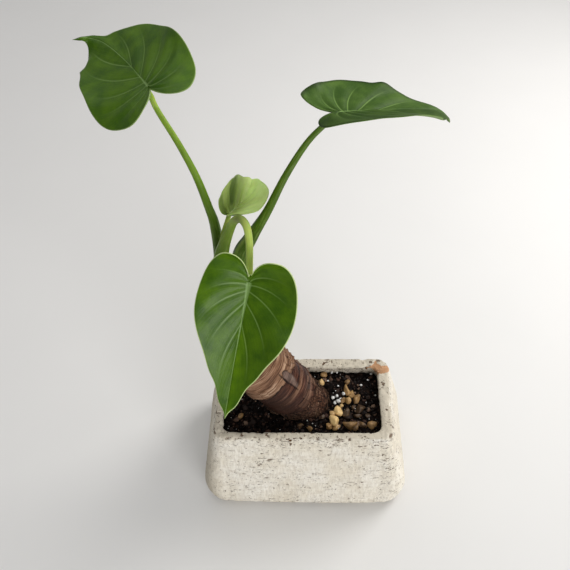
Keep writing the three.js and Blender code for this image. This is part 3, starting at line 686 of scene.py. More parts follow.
trunk = {
    # for each point of the axis: x, y, z and the radius there
    "axis": [(8, 3.5, 60, 17), (4, 3.6, 69, 20), (0.5, 3.6, 78, 21), (-13, 3.2, 98, 22),
             (-26.5, 3.2, 118, 22.5), (-38, 3.5, 137, 21.5), (-46, 3.5, 156, 19.5),
             (-50.3, 2.9, 168, 17.3), (-51, 2.5, 174, 15), (-51, 2.5, 178, 10.5)],
    "steps": 350,
    "sides": 256,
    # share of the length where the first sheath ends, and how much of it each one covers
    "firstEdge": 0.025,
    "sheathSpan": 0.245,
    # how far a sheath's torn edge stands out
    "overhang": 1.5,
    # where a torn edge runs higher or lower: share of the length, angle, spread and rise
    "tears": [(0.54, 243, 9, 0.055), (0.50, 282, 16, -0.05), (0.50, 185, 18, -0.02), (0.29, 163, 14, 0.07),
              (0.25, 276, 12, -0.04), (0.78, 200, 30, 0.05), (0.30, 60, 25, 0.05), (0.55, 100, 30, -0.04)],
    # hollows: share of the length, angle, their spreads, and depth
    "hollows": [(0.20, 300, 0.09, 38, 4.5), (0.40, 312, 0.07, 30, 2.0), (0.50, 258, 0.03, 12, 0.8)],
    # loose strips: share of the length, angle, height and width in grid steps, and lift
    "strips": [(0.495, 252, 12, 14, 1.6), (0.53, 262, 14, 10, 2.0), (0.50, 272, 16, 12, 1.8),
               (0.46, 286, 18, 14, 1.6), (0.42, 298, 16, 12, 1.4), (0.36, 304, 14, 16, 1.2),
               (0.55, 290, 18, 12, 1.6), (0.31, 262, 12, 12, 1.0), (0.24, 268, 14, 16, 1.6)],
    "looseStrips": 26,
    "fibres": 68,
    # heights between which the root fibres start, and where they end
    "fibreTops": (79, 94),
    "fibreFoot": 76.5,
    "crumbs": 260,
    # colour ramps: above the torn edge, below it, and where earth sticks to the foot
    "warmTones": [(0.40, (0.045, 0.018, 0.010)), (0.49, (0.15, 0.072, 0.038)),
                  (0.56, (0.28, 0.155, 0.09)), (0.68, (0.62, 0.44, 0.31))],
    "coolTones": [(0.40, (0.010, 0.003, 0.002)), (0.50, (0.044, 0.014, 0.008)),
                  (0.58, (0.100, 0.038, 0.022)), (0.70, (0.27, 0.155, 0.11))],
    "earthTones": [(0.42, (0.004, 0.002, 0.001)), (0.49, (0.050, 0.020, 0.011)),
                   (0.57, (0.12, 0.055, 0.030)), (0.70, (0.42, 0.30, 0.21))],
    "grey": (0.28, 0.20, 0.165),
    # painted shade for the side turned from the light and for the foot
    "paintedShadeColour": (0.018, 0.008, 0.005),
    # painted shade for furrows, cracks and the undersides of torn edges
    "grooveShadeColour": (0.004, 0.002, 0.0015),
    "fibreColours": ((0.010, 0.005, 0.003), (0.16, 0.085, 0.05)),
}


def makeBarkMaterial():
    material, tree, shader = newMaterial("paperyBark")
    grain = addNode(tree, "Attribute", attribute_name="grain").outputs["Vector"]
    place = objectPlace(tree)
    broad = noiseOf(tree, grain, 3.2, 3, 0.5)
    fine = noiseOf(tree, grain, 0.9, 4, 0.65)
    patches = noiseOf(tree, place, 0.009, 4, 0.6)
    streaks = calc(tree, "ADD", calc(tree, "MULTIPLY", broad, 0.45), calc(tree, "MULTIPLY", fine, 0.45))
    mixed = calc(tree, "ADD", streaks, calc(tree, "MULTIPLY", patches, 0.12))
    colour = mixColour(tree, readValue(tree, "warm"), rampOf(tree, mixed, trunk["coolTones"]),
                       rampOf(tree, mixed, trunk["warmTones"]))
    shadedGrey = tuple(0.5 * c for c in trunk["grey"])
    pale = mixColour(tree, remap(tree, mixed, 0.4, 0.65), shadedGrey, trunk["grey"])
    colour = mixColour(tree, readValue(tree, "bare"), colour, pale)
    earth = rampOf(tree, noiseOf(tree, place, 0.0018, 4, 0.7), trunk["earthTones"])
    colour = mixColour(tree, readValue(tree, "soiled"), colour, earth)
    # painted shade on the side turned from the light and at the foot
    colour = mixColour(tree, readValue(tree, "paintedShade"), colour, trunk["paintedShadeColour"])
    # painted shade in furrows and cracks and under the sheaths' torn edges
    colour = mixColour(tree, readValue(tree, "grooveShade"), colour, trunk["grooveShadeColour"])
    normal = bumpOf(tree, streaks, 0.0010, 1.0)
    normal = bumpOf(tree, noiseOf(tree, place, 0.0012, 4, 0.7), 0.0005, 0.6, normal)
    setShader(tree, shader, colour=colour, roughness=0.55, gloss=0.15, normal=normal)
    return material


def makeFibreMaterial():
    material, tree, shader = newMaterial("rootFibres")
    place = objectPlace(tree)
    colour = mixColour(tree, noiseOf(tree, place, 0.004, 3, 0.6), *trunk["fibreColours"])
    setShader(tree, shader, colour=colour, roughness=0.8, gloss=0.2,
              normal=bumpOf(tree, noiseOf(tree, place, 0.0008, 3, 0.6), 0.0002, 0.5))
    return material


def turnedFrom(angles, facing):
    # degrees between each angle (radians) and a facing (degrees), from -180 to 180
    return (np.degrees(angles) - facing + 180) % 360 - 180


def barkTones(rows, smooth, angles, share, phase, step, ridges):
    # tones: orange brown above the torn edge, mauve and grey below it, painted shade on the unlit side
    # painted shade just under each sheath's overhanging torn edge and in the troughs between ridges
    grooveShade = softStep(step, 0.93, 0.985) * softStep(lumpNoise(smooth, 7, 70), -0.6, 0.0)
    grooveShade = np.clip(grooveShade + 0.7 * softStep(-ridges, 0.26, 0.42), 0, 1)
    facing = turnedFrom(angles, 240)
    stripe = 0.55 * np.exp(-((share - 0.392) / 0.018) ** 2 - (facing / 45) ** 2)
    warm = np.clip(softStep(phase, 1.97, 2.0) + stripe + 0.2 * lumpNoise(smooth, 12, 71), 0, 1)
    # a grey three-cornered patch where a sheath has come off, with a crack along its left side
    aside = turnedFrom(angles, 246) + 1.2 * lumpNoise(smooth, 5, 77)
    right = 12 - 34 * (1.97 - phase)
    bare = (softStep(phase, 1.5, 1.56) * (1 - softStep(phase, 1.97, 2.0)) * softStep(aside, -11, -9)
            * (1 - softStep(aside, right - 6, right + 3)))
    crack = np.exp(-((aside + 12) / 1.4) ** 2) * softStep(phase, 1.42, 1.5)
    crack = crack * (1 - softStep(phase, 2.15, 2.25))
    grooveShade = np.clip(grooveShade + crack, 0, 1)
    bare = bare + 0.55 * np.exp(-((share - 0.315) / 0.03) ** 2 - (turnedFrom(angles, 265) / 28) ** 2)
    bare = np.clip(bare * (0.62 + 0.35 * lumpNoise(smooth, 5, 72)), 0, 0.8)
    # painted shade on the side turned from the light, most on the lower half, and at the foot where it sinks
    # into the soil
    paintedShade = 0.85 * softStep(-facing, 0, 65) * (1 - softStep(share, 0.42, 0.60))
    paintedShade = np.clip(paintedShade + 0.35 * softStep(-facing, 60, 130), 0, 0.8)
    sunk = 1 - softStep(rows[..., 2] + 3.5 * lumpNoise(rows, 3, 78) + 2 * lumpNoise(rows, 8, 79), 79.5, 85.5)
    paintedShade = np.maximum(paintedShade, 0.93 * sunk)
    soiled = 1 - softStep(rows[..., 2] + 4 * lumpNoise(rows, 5, 66), 82, 92)
    soiled = np.clip(np.maximum(soiled, 0.8 * (1 - softStep(phase, 0.9, 1.0))), 0, 0.92)
    return {"grooveShade": grooveShade, "soiled": soiled, "warm": warm, "bare": bare, "paintedShade": paintedShade}


def makeTrunk():
    centre, radius, length = smoothPath(trunk["axis"], trunk["steps"])
    first, second = pathFrames(centre)
    share = (length / length[-1])[:, None]
    angles = np.linspace(0, 2 * math.pi, trunk["sides"], endpoint=False)
    angles = np.broadcast_to(angles, (trunk["steps"], trunk["sides"]))
    smooth = ringRows(centre, first, second, radius[:, None] * np.ones_like(angles), angles)
    # each sheath stands proud at its torn lower edge and thins towards its upper one
    rise = sum(size * np.exp(-((share - at) / 0.08) ** 2 - (turnedFrom(angles, facing) / spread) ** 2)
               for at, facing, spread, size in trunk["tears"])
    torn = 0.06 * softStep(lumpNoise(smooth, 6, 68), 0.1, 0.35) + 0.035 * roughNoise(smooth, 3.2, 62)
    phase = (share - trunk["firstEdge"] - rise) / trunk["sheathSpan"] + torn
    step = phase - np.floor(phase)
    lip = (1 - step) ** 1.6 * softStep(step, 0, 0.02) + softStep(step, 0.985, 1)
    proud = trunk["overhang"] * lip * (0.7 + 0.5 * lumpNoise(smooth, 14, 67))
    # striations run along the rings and waver a little
    waver = length[:, None] + 0.9 * lumpNoise(smooth, 16, 61) + 0.35 * lumpNoise(smooth, 6, 60)
    along = np.stack([np.cos(angles), np.sin(angles), waver / 3.4], axis=-1)
    ridges = 0.30 * lumpNoise(along * [1.1, 1.1, 1], 1, 63) + 0.13 * lumpNoise(along * [2, 2, 2.8], 1, 64)
    hollow = sum(depth * np.exp(-((share - at) / high) ** 2 - (turnedFrom(angles, facing) / wide) ** 2)
                 for at, facing, high, wide, depth in trunk["hollows"])
    relief = proud + ridges + 0.6 * lumpNoise(smooth, 13, 65) + 0.18 * lumpNoise(smooth, 2.5, 69) - hollow
    relief = relief + radius[:, None] * (0.015 * np.sin(3 * angles + 9 * share)) - 0.9
    rows = ringRows(centre, first, second, radius[:, None] + relief, angles)
    out = gridNormals(rows)
    tones = barkTones(rows, smooth, angles, share, phase, step, ridges)
    bark = makeBarkMaterial()
    grain = np.stack([np.cos(angles) * 1.3, np.sin(angles) * 1.3, waver], axis=-1)
    piece = addSkin("ringedTrunk", [rows], bark, ["trunk"], {key: [tones[key]] for key in tones})
    addGrain(piece, [grain])
    print("trunk:", len(piece.data.polygons), "faces")
    makeStrips(rows, out, grain, tones, bark)
    makeFibres(rows, out)


def stripRows(patch, out, lift, thickness=0.25):
    # a patch of the trunk's surface raised most at its lower edge, as a thin sheet: each ring runs
    # along the outer face and back along the inner one
    rows, columns = patch.shape[:2]
    down = np.linspace(1, 0, rows)[:, None] ** 1.5
    side = np.linspace(0, 1, columns)[None]
    height = 0.12 + lift * down * (0.3 + 0.7 * side ** 2)
    outer = patch + out * (height + thickness)[..., None]
    inner = patch + out * (height - 0.1)[..., None]
    return np.concatenate([outer, inner[:, ::-1]], axis=1)


def makeStrips(rows, out, grain, tones, bark):
    # loose strips that peel off, most of them along the sheaths' torn edges
    random = np.random.default_rng(74)
    placed = list(trunk["strips"])
    for _ in range(trunk["looseStrips"]):
        facing, sheath = random.uniform(0, 360), random.integers(1, 4)
        at = trunk["firstEdge"] + trunk["sheathSpan"] * sheath + random.uniform(0, 0.02)
        placed.append((at, facing, random.integers(8, 20), random.integers(8, 20), random.uniform(0.5, 1.6)))
    skins, grains = [], []
    kept = {key: [] for key in tones}
    for at, facing, high, wide, lift in placed:
        start = int(at * trunk["steps"])
        column = int(facing / 360 * trunk["sides"])
        columns = (column + np.arange(wide)) % trunk["sides"]
        block = np.ix_(np.arange(start, start + high), columns)
        skins.append(stripRows(rows[block], out[block], lift))
        grains.append(np.concatenate([grain[block], grain[block][:, ::-1]], axis=1))
        for key in tones:
            kept[key].append(0.0 if key in ("grooveShade", "soiled") else float(tones[key][block].mean()))
    kept["warm"] = [min(1.0, warm + 0.3) for warm in kept["warm"]]
    piece = addSkin("peelingStrips", skins, bark, values=kept)
    addGrain(piece, grains)
    print("strips:", len(skins))


def makeFibres(rows, out):
    # thin roots that run down over the trunk's foot, and crumbs caught among them
    random = np.random.default_rng(75)
    height = rows[..., 2]
    steps, sides = 9, 5
    skins = []
    for _ in range(trunk["fibres"]):
        column = random.integers(0, trunk["sides"])
        top = random.uniform(*trunk["fibreTops"])
        high = int(np.argmax(height[:, column] > top))
        low = int(np.argmax(height[:, column] > trunk["fibreFoot"]))
        along = np.linspace(high, low, steps).astype(int)
        drift = np.cumsum(random.normal(0, 3.0, steps))
        columns = (column + drift).astype(int) % trunk["sides"]
        lift = 0.25 + 1.1 * random.uniform() * np.sin(np.linspace(0.2, math.pi, steps)) ** 2
        path = rows[along, columns] + out[along, columns] * lift[:, None]
        path = path + random.normal(0, 0.25, path.shape)
        first, second = pathFrames(path)
        thick = random.uniform(0.14, 0.34) * np.linspace(1, 0.5, steps)[:, None] * np.ones(sides)
        angles = np.broadcast_to(np.linspace(0, 2 * math.pi, sides, endpoint=False), (steps, sides))
        skins.append(ringRows(path, first, second, thick, angles))
    addSkin("rootFibres", skins, makeFibreMaterial())
    count = trunk["crumbs"]
    column = random.integers(0, trunk["sides"], count)
    level = random.uniform(0, 1, count) ** 1.6 * 16 + 77.5
    row = np.argmax(height[:, column] > level, axis=0)
    place = rows[row, column] + out[row, column] * 0.2
    size = random.uniform(0.6, 2.1, count)
    tone = random.uniform(0, 1, count) ** 1.8
    addSkin("caughtCrumbs", chunkSkins(place, size, random), makeCrumbMaterial(),
            values={"tone": tone})
    print("fibres:", len(skins))


makeTrunk()


# Stalks

stalks = {
    "steps": 220,
    "sides": 36,
    # steps left off at the blade's end
    "shortBy": 3,
    "dark": (0.060, 0.120, 0.004),
    "green": (0.110, 0.205, 0.010),
    "fresh": (0.20, 0.315, 0.028),
    "bright": (0.46, 0.58, 0.12),
    "light": (0.40, 0.52, 0.16),
    "dull": (0.135, 0.17, 0.05),
    # how far along the stalk the green turns from the dark of the sheath to the fresh of the neck
    "paling": {"left": (0.25, 1.2), "right": (0.75, 3.4), "front": (0.0, 1.0), "young": (-0.5, 0.9)},
    # the sheath at the foot: where it ends, how proud it stands, and which way its edge faces
    "sheath": {"left": (0.34, 0.9, -0.5), "right": (0.53, 1.7, 1.5), "front": (0.42, 0.9, 1.9)},
    # for each point of a stalk's axis: x, y, z and the radius there
    "left": [(-58.3, 7.5, 172, 6.8), (-55.5, 8.2, 198, 5.2), (-51.7, 8.8, 225, 4.4), (-49.2, 9, 251, 3.6),
             (-49.5, 10.5, 273, 3), (-51.6, 12.5, 284.3, 2.5), (-57, 18, 304.3, 2.1),
             (-65.1, 25, 321.8, 1.8), (-74.4, 32, 338.3, 1.6), (-76.9, 34, 345.5, 1.55),
             (-78.2, 35, 353.4, 1.5)],
    "right": [(-43.5, 7.5, 172, 7), (-42.5, 7.2, 198, 6), (-40.2, 6.5, 225, 5.6), (-35.4, 6, 251, 4.9),
              (-29.3, 6.5, 263, 4.2), (-22.1, 8, 275, 3.2), (-15.9, 11, 285.1, 2.6),
              (-5.8, 19.5, 302, 2.1), (6.2, 30, 316.3, 1.8), (16.5, 36.3, 324.3, 1.6),
              (27, 40, 330.5, 1.55)],
    "front": [(-51, -6.2, 172, 7), (-51, -5, 198, 6), (-50, -3, 222, 5.6), (-47.6, -0.5, 250, 4.8),
              (-43.6, 0, 266, 3.6), (-38.8, -1, 279.5, 2.8), (-34.8, -4, 289.5, 2.4), (-30.2, -9, 295.9, 2.2),
              (-26.8, -14, 295.4, 2.2), (-25.5, -19, 289.8, 2.1), (-25.6, -24, 281, 2),
              (-26, -29, 273.6, 1.9), (-26.6, -35, 269.2, 1.8)],
    "young": [(-47.4, 0.6, 252, 1.5), (-46.3, 1.8, 262, 1.5), (-43.9, 4.4, 271, 1.45),
              (-41.3, 7.4, 277.5, 1.4), (-39.1, 10, 282.5, 1.4)],
}


def makeStalkMaterial():
    material, tree, shader = newMaterial("satinStalk")
    along = addNode(tree, "Attribute", attribute_name="grain").outputs["Vector"]
    streaks = noiseOf(tree, along, 1.0, 3, 0.6)
    clouds = noiseOf(tree, objectPlace(tree), 0.014, 3, 0.5)
    fresh = calc(tree, "ADD", readValue(tree, "fresh"), remap(tree, clouds, 0.3, 0.7, -0.12, 0.12))
    colour = rampOf(tree, fresh, [(0.0, stalks["dark"]), (0.35, stalks["green"]), (0.7, stalks["fresh"]),
                                 (1.0, stalks["bright"])])
    colour = mixColour(tree, readValue(tree, "dull"), colour, stalks["dull"])
    colour = mixColour(tree, remap(tree, streaks, 0.45, 0.75, 0, 0.2), colour, stalks["light"])
    colour = mixColour(tree, calc(tree, "MULTIPLY", readValue(tree, "margin"), 0.8), colour, stalks["light"])
    setShader(tree, shader, colour=colour, roughness=0.45, gloss=0.15, scatter=0.12, scatterScale=0.002,
              normal=bumpOf(tree, streaks, 0.0002, 0.5))
    return material


def makeStalks():
    # tubes along the paths; the sheath wraps the foot, thins out at its end and leaves a pale edge
    material = makeStalkMaterial()
    steps, sides = stalks["steps"], stalks["sides"]
    angles = np.broadcast_to(np.linspace(0, 2 * math.pi, sides, endpoint=False), (steps, sides))
    for name in ("left", "right", "front", "young"):
        centre, radius, length = smoothPath(stalks[name], steps + stalks["shortBy"])
        centre, radius, length = (part[:steps] for part in (centre, radius, length))
        first, second = pathFrames(centre)
        share = (length / length[-1])[:, None]
        radius = radius * (1 - 0.45 * softStep(length / length[-1], 0.975, 1))
        relief = 0.02 * np.sin(9 * angles + 5 * share) * radius[:, None]
        margin = np.zeros_like(angles)
        if name in stalks["sheath"]:
            end, proud, facing = stalks["sheath"][name]
            edgeAngle = facing + 0.5 * np.sin(4 * share)
            beyond = np.angle(np.exp(1j * (angles - edgeAngle)))
            cover = softStep(beyond, 0, 0.22) * (1 - softStep(share, end - 0.05, end + 0.03))
            relief = relief + cover * proud * (0.25 + 0.35 * np.exp(-np.abs(beyond) / 0.6))
            margin = np.exp(-((beyond - 0.25) / 0.26) ** 2) * (1 - softStep(share, end - 0.03, end + 0.02))
        low, high = stalks["paling"][name]
        fresh = softStep(share, low, high) + 0.12 * np.cos(angles) + 0 * angles
        # the front stalk is duller where it turns over
        dull = 0.7 * np.exp(-((share - 0.77) / 0.04) ** 2) * (name == "front") + 0 * angles
        rows = ringRows(centre, first, second, radius[:, None] + relief, angles)
        piece = addSkin("stalk" + name.capitalize(), [rows], material, ["stalk_" + name],
                        {"fresh": [np.clip(fresh, 0, 1)], "margin": [margin], "dull": [dull]})
        along = length[:, None] * 0.12 + 0 * angles
        grain = np.stack([np.cos(angles) * 4, np.sin(angles) * 4, along], axis=-1)
        addGrain(piece, [grain])
    print("stalks made")


makeStalks()


# Leaf blades

leaves = {
    "rings": 50,
    "spokes": 300,
    "thickness": 0.7,
    "ribShare": 0.03,
    "calmShare": 0.15,
    "tipStart": 0.72,
    # where a leaf's tip may rise in a hump, and where its sides may draw together before it
    "humpAt": 0.935,
    "humpSpread": 0.035,
    "pinchFrom": (0.865, 0.905),
    # how far red, green and blue light spreads in a blade
    "scatterRadius": (0.5, 0.8, 0.2),
    # degrees from the tip, and distance from the stalk's point as a share of the length
    "outline": [(0, 1), (6, 0.845), (15, 0.715), (30, 0.6), (45, 0.53), (60, 0.478), (75, 0.435),
                (90, 0.405), (105, 0.385), (120, 0.372), (135, 0.35), (150, 0.3), (162, 0.215),
                (172, 0.125), (180, 0.085)],
    # for each vein: where it leaves the rib, its heading there in degrees, and its bend to the tip
    "veins": [(0.86, 5, 0.3), (0.28, 38, 1.5), (0.115, 56, 1.6), (0.035, 80, 1.9), (0.0, 104, 2.3),
              (-0.02, 132, 3.0), (-0.03, 157, 2.8), (-0.04, 178, 1.5)],
    # For each leaf: the stalk's point, the blade's length, the rib's heading in degrees (yaw from +Y,
    # pitch up, roll about the rib), fold and curl of the left and right half, bends of the rib, then
    # how strong its quilting, veins, rib and pale margin are. Dents change the outline and lifts
    # raise the edge, each at its degrees from the tip, with its spread and size. The shapes' values
    # and nearly all dents and lifts come from a least-squares fit to the leaf edges in the photograph.
    "left": {"at": (-78.2, 35, 353.4), "length": 79.7, "wide": 1.027, "lopsided": -0.025,
             "yaw": 30.2, "pitch": -3.8, "roll": 34, "fold": (13, -2), "curl": (-20, -37.3),
             "bendStart": -7.6, "bend": -12, "tipDroop": -63, "tipTurn": -61, "sideBend": -18.2,
             "twist": 17.7, "lobeLift": 0.01, "pinch": 0.55, "tipHump": 4.2, "wave": 0.062, "wavePhase": 4.08,
             "quilt": 0.6, "clear": 0.55, "ribWide": 0.4, "margin": 0.35,
             "dents": [(-148, 13, -0.125), (-120, 18, -0.04), (-85, 20, 0.04), (-30, 12, 0.12),
                       (-16, 8, 0.23), (-5, 5, 0.04), (5, 5, -0.07), (30, 12, 0.04), (55, 16, -0.02),
                       (90, 20, 0.02), (120, 18, 0.02), (148, 13, 0.09), (166, 8, -0.15)],
             "lifts": [(-140, 22, -0.03), (-85, 25, -0.013), (-34, 18, 0.05), (40, 20, -0.03),
                       (90, 25, 0.014)]},
    "right": {"at": (27, 40, 330.5), "length": 80.7, "wide": 1.039, "lopsided": 0.068,
              "yaw": -68.4, "pitch": -12.2, "roll": 6, "fold": (8, 18.6), "curl": (-13, 6),
              "bendStart": 7.3, "bend": 0.9, "tipDroop": 49, "tipTurn": -1.2, "sideBend": -4.9,
              "twist": 0.3, "lobeLift": -0.089, "pinch": 0, "tipHump": 0, "wave": 0.026, "wavePhase": 3.44,
              "quilt": 0.6, "clear": 0.75, "ribWide": 0.3, "margin": 0.0,
              "dents": [(-110, 20, -0.16), (-75, 20, 0.02), (-40, 20, -0.09), (-14, 8, -0.075),
                        (8, 6, 0.04), (24, 12, 0.075), (75, 20, -0.135), (150, 15, -0.125)],
              "lifts": [(-150, 20, 0.062), (-110, 22, 0.11), (-75, 18, 0.028), (-48, 10, 0.016),
                        (-34, 7, 0.043), (14, 8, -0.029), (40, 18, 0.037), (90, 25, -0.026),
                        (145, 20, -0.024)]},
    "front": {"at": (-26.6, -35, 269.2), "length": 77, "wide": 0.992, "lopsided": -0.036,
              "yaw": 159.3, "pitch": -54.3, "roll": 13.8, "fold": (17.9, 24.8), "curl": (-17.6, -17.6),
              "bendStart": -17.7, "bend": -3.1, "tipDroop": 0, "tipTurn": 0, "sideBend": -3.5,
              "twist": -4.9, "lobeLift": 0.102, "pinch": 0, "tipHump": 0, "wave": 0, "wavePhase": 0,
              "quilt": 0.35, "clear": 0.6, "ribWide": 0.9, "margin": 1.0,
              "dents": [(-165, 9, -0.46), (-140, 15, 0.047), (-110, 18, 0.032), (-16, 8, 0.044),
                        (-6, 4, 0.08), (6, 4, 0.07), (16, 8, 0.04), (40, 16, -0.02), (110, 18, 0.025),
                        (140, 15, 0.06), (165, 9, -0.55)],
              "lifts": [(-150, 20, 0.157), (-100, 25, 0.067), (-40, 20, 0.111), (40, 20, 0.039),
                        (100, 25, -0.062), (150, 20, 0.122)]},
    "young": {"at": (-39.1, 10, 282.5), "length": 41.8, "wide": 1.245, "lopsided": 0.088,
              "yaw": -24, "pitch": -18.2, "roll": -16.1, "fold": (43.9, 42.8), "curl": (100, -7.2),
              "bendStart": -41, "bend": 30.3, "tipDroop": 68.6, "tipTurn": 12.9, "sideBend": -37.6,
              "twist": 15.2, "lobeLift": 0.197, "pinch": 0, "tipHump": 0, "wave": 0, "wavePhase": 0,
              "quilt": 1.0, "clear": 0.4, "ribWide": 0.8, "margin": 0.5,
              "dents": [(-120, 25, 0.086), (-70, 25, 0.074), (-30, 20, 0.137), (30, 20, 0.042),
                        (70, 25, -0.03), (120, 25, 0.087), (150, 15, 0.24), (-150, 11, 0.25),
                        (-161, 6, 0.25)],
              "lifts": [(-100, 30, 0.034), (-50, 20, -0.023), (50, 20, 0.02), (100, 30, 0.024)]},
}
# colours of each kind of leaf, its tints for painted shade and painted light, and how much light passes
# through it
leafFinish = {
    "leaf": {"dark": (0.036, 0.098, 0.0004), "green": (0.080, 0.170, 0.0012), "vein": (0.20, 0.32, 0.085),
             "rib": (0.21, 0.34, 0.10), "margin": (0.50, 0.60, 0.26), "under": (0.15, 0.25, 0.05),
             "fold": (0.5, 0.5, 0.5), "paintedLight": (1.55, 1.42, 1.0),
             "roughness": 0.36, "gloss": 0.2, "scatter": 0.08, "scatterScale": 0.0012},
    "youngLeaf": {"dark": (0.36, 0.46, 0.12), "green": (0.46, 0.57, 0.19), "vein": (0.60, 0.72, 0.34),
                  "rib": (0.62, 0.74, 0.36), "margin": (0.25, 0.34, 0.08), "under": (0.36, 0.48, 0.16),
                  "fold": (0.22, 0.27, 0.19), "paintedLight": (1.6, 1.6, 1.8),
                  "roughness": 0.5, "gloss": 0.2, "scatter": 0.25, "scatterScale": 0.0015},
}
# the right leaf is as green as the others and more matt
leafFinish["mattLeaf"] = dict(leafFinish["leaf"], dark=(0.036, 0.085, 0.010), green=(0.078, 0.150, 0.022),
                              roughness=0.5, gloss=0.1)


def outlineRadius(leaf, degrees):
    # smooth curve through the outline's points that never overshoots, and the leaf's own dents
    angles, radii = np.array(leaves["outline"]).T
    rise = np.diff(radii) / np.diff(angles)
    slopes = np.concatenate([rise[:1], 2 * rise[:-1] * rise[1:] / (rise[:-1] + rise[1:]), rise[-1:]])
    away = np.abs(degrees)
    i = np.clip(np.searchsorted(angles, away) - 1, 0, len(rise) - 1)
    width = angles[i + 1] - angles[i]
    t = (away - angles[i]) / width
    smooth = (radii[i] * (2 * t ** 3 - 3 * t ** 2 + 1) + radii[i + 1] * (3 * t ** 2 - 2 * t ** 3)
              + width * slopes[i] * (t ** 3 - 2 * t ** 2 + t) + width * slopes[i + 1] * (t ** 3 - t ** 2))
    return smooth * (1 + bumpsRound(leaf["dents"], degrees))


def bumpsRound(bumps, degrees):
    # sum of soft bumps, each at its own place round the leaf, with its own spread and size
    return sum((size * np.exp(-((degrees - at) / spread) ** 2) for at, spread, size in bumps), 0)


def ribTable(leaf):
    # slope down and sideways along the rib, and the place it has reached, from behind the stalk to the tip
    share = np.linspace(-0.6, 1.1, 341)
    tip = np.clip((share - leaves["tipStart"]) / (1 - leaves["tipStart"]), 0, 1.2) ** 1.5
    squared = share * np.abs(share)
    down = np.radians(leaf["bendStart"] * share + leaf["bend"] * squared + leaf["tipDroop"] * tip)
    aside = np.radians(leaf["sideBend"] * squared + leaf["tipTurn"] * tip)
    stride = np.stack([np.sin(aside), np.cos(down) * np.cos(aside), -np.sin(down) * np.cos(aside)])
    place = np.cumsum((stride[:, 1:] + stride[:, :-1]) / 2 * (share[1] - share[0]), axis=1)
    place = np.hstack([np.zeros((3, 1)), place]) * leaf["length"]
    start = np.array([np.interp(0, share, row) for row in place])[:, None]
    return share, down, aside, place - start


def bladePoints(leaf, rib, flatX, flatY):
    # the halves are folded up beside the soft crease of the rib, curled, twisted, waved and lifted,
    # then carried along the rib; waves and lifts die away near the stalk's point
    length = leaf["length"]
    angle = np.arctan2(flatX / leaf["wide"], flatY)
    reach = np.hypot(flatX / leaf["wide"], flatY)
    outward = reach / (outlineRadius(leaf, np.degrees(angle)) * length)
    side = np.sign(flatX)
    away = np.abs(flatX) * (1 + side * leaf["lopsided"])
    ribWidth = leaves["ribShare"] * length
    across = away - ribWidth * np.tanh(away / (2 * ribWidth))
    lifted = across ** 2 / (across + ribWidth)
    fold = np.radians(np.where(side > 0, leaf["fold"][1], leaf["fold"][0]))
    curl = np.radians(np.where(side > 0, leaf["curl"][1], leaf["curl"][0])) / length
    x = side * (np.sin(fold + curl * across) - np.sin(fold)) / curl
    z = (np.cos(fold) - np.cos(fold + curl * lifted)) / curl
    share = flatY / length
    turn = np.radians(leaf["twist"]) * share
    x, z = x * np.cos(turn) - z * np.sin(turn), x * np.sin(turn) + z * np.cos(turn)
    z = z + 4 * leaf["lobeLift"] * length * np.maximum(-share, 0) ** 2
    lively = reach ** 2 / (reach ** 2 + (leaves["calmShare"] * length) ** 2)
    rise = leaf["wave"] * np.sin(3 * angle + leaf["wavePhase"]) + bumpsRound(leaf["lifts"], np.degrees(angle))
    hump = np.exp(-((flatY / length - leaves["humpAt"]) / leaves["humpSpread"]) ** 2)
    z = z + rise * length * lively * outward ** 3 + leaf["tipHump"] * hump
    shares, downs, asides, places = rib
    down, aside = np.interp(share, shares, downs), np.interp(share, shares, asides)
    px, py, pz = (np.interp(share, shares, row) for row in places)
    return np.stack([px + x * np.cos(aside),
                     py - x * np.sin(aside) * np.cos(down) + z * np.sin(down),
                     pz + x * np.sin(aside) * np.sin(down) + z * np.cos(down)], axis=-1)


def bladeAxes(leaf):
    # directions across the blade, along its rib and out of its upper face
    yaw, pitch, roll = np.radians([leaf["yaw"], leaf["pitch"], leaf["roll"]])
    along = np.array([-np.sin(yaw) * np.cos(pitch), np.cos(yaw) * np.cos(pitch), np.sin(pitch)])
    level = np.array([np.cos(yaw), np.sin(yaw), 0])
    upright = np.cross(level, along)
    return np.stack([level * np.cos(roll) + upright * np.sin(roll), along,
                     upright * np.cos(roll) - level * np.sin(roll)])


def veinNumber(x, y):
    # which vein of the family passes through a point (x and y are shares of the length): vein number
    # n leaves the rib at its start with its heading and runs in an arc bent to the tip, and the
    # number is found by halving the range it lies in
    starts, headings, bends = np.array(leaves["veins"]).T
    numbers = np.arange(len(starts))
    low, high = np.zeros_like(x), np.full_like(x, numbers[-1])
    halvings = 26
    for _ in range(halvings):
        middle = (low + high) / 2
        start = np.interp(middle, numbers, starts)
        heading = np.radians(np.interp(middle, numbers, headings))
        bend = np.interp(middle, numbers, bends)
        distance = np.hypot(x, y - start)
        direction = np.arctan2(x, y - start) + np.arcsin(np.clip(bend * distance / 2, -1, 1))
        beyond = direction > heading
        low, high = np.where(beyond, middle, low), np.where(beyond, high, middle)
    return (low + high) / 2


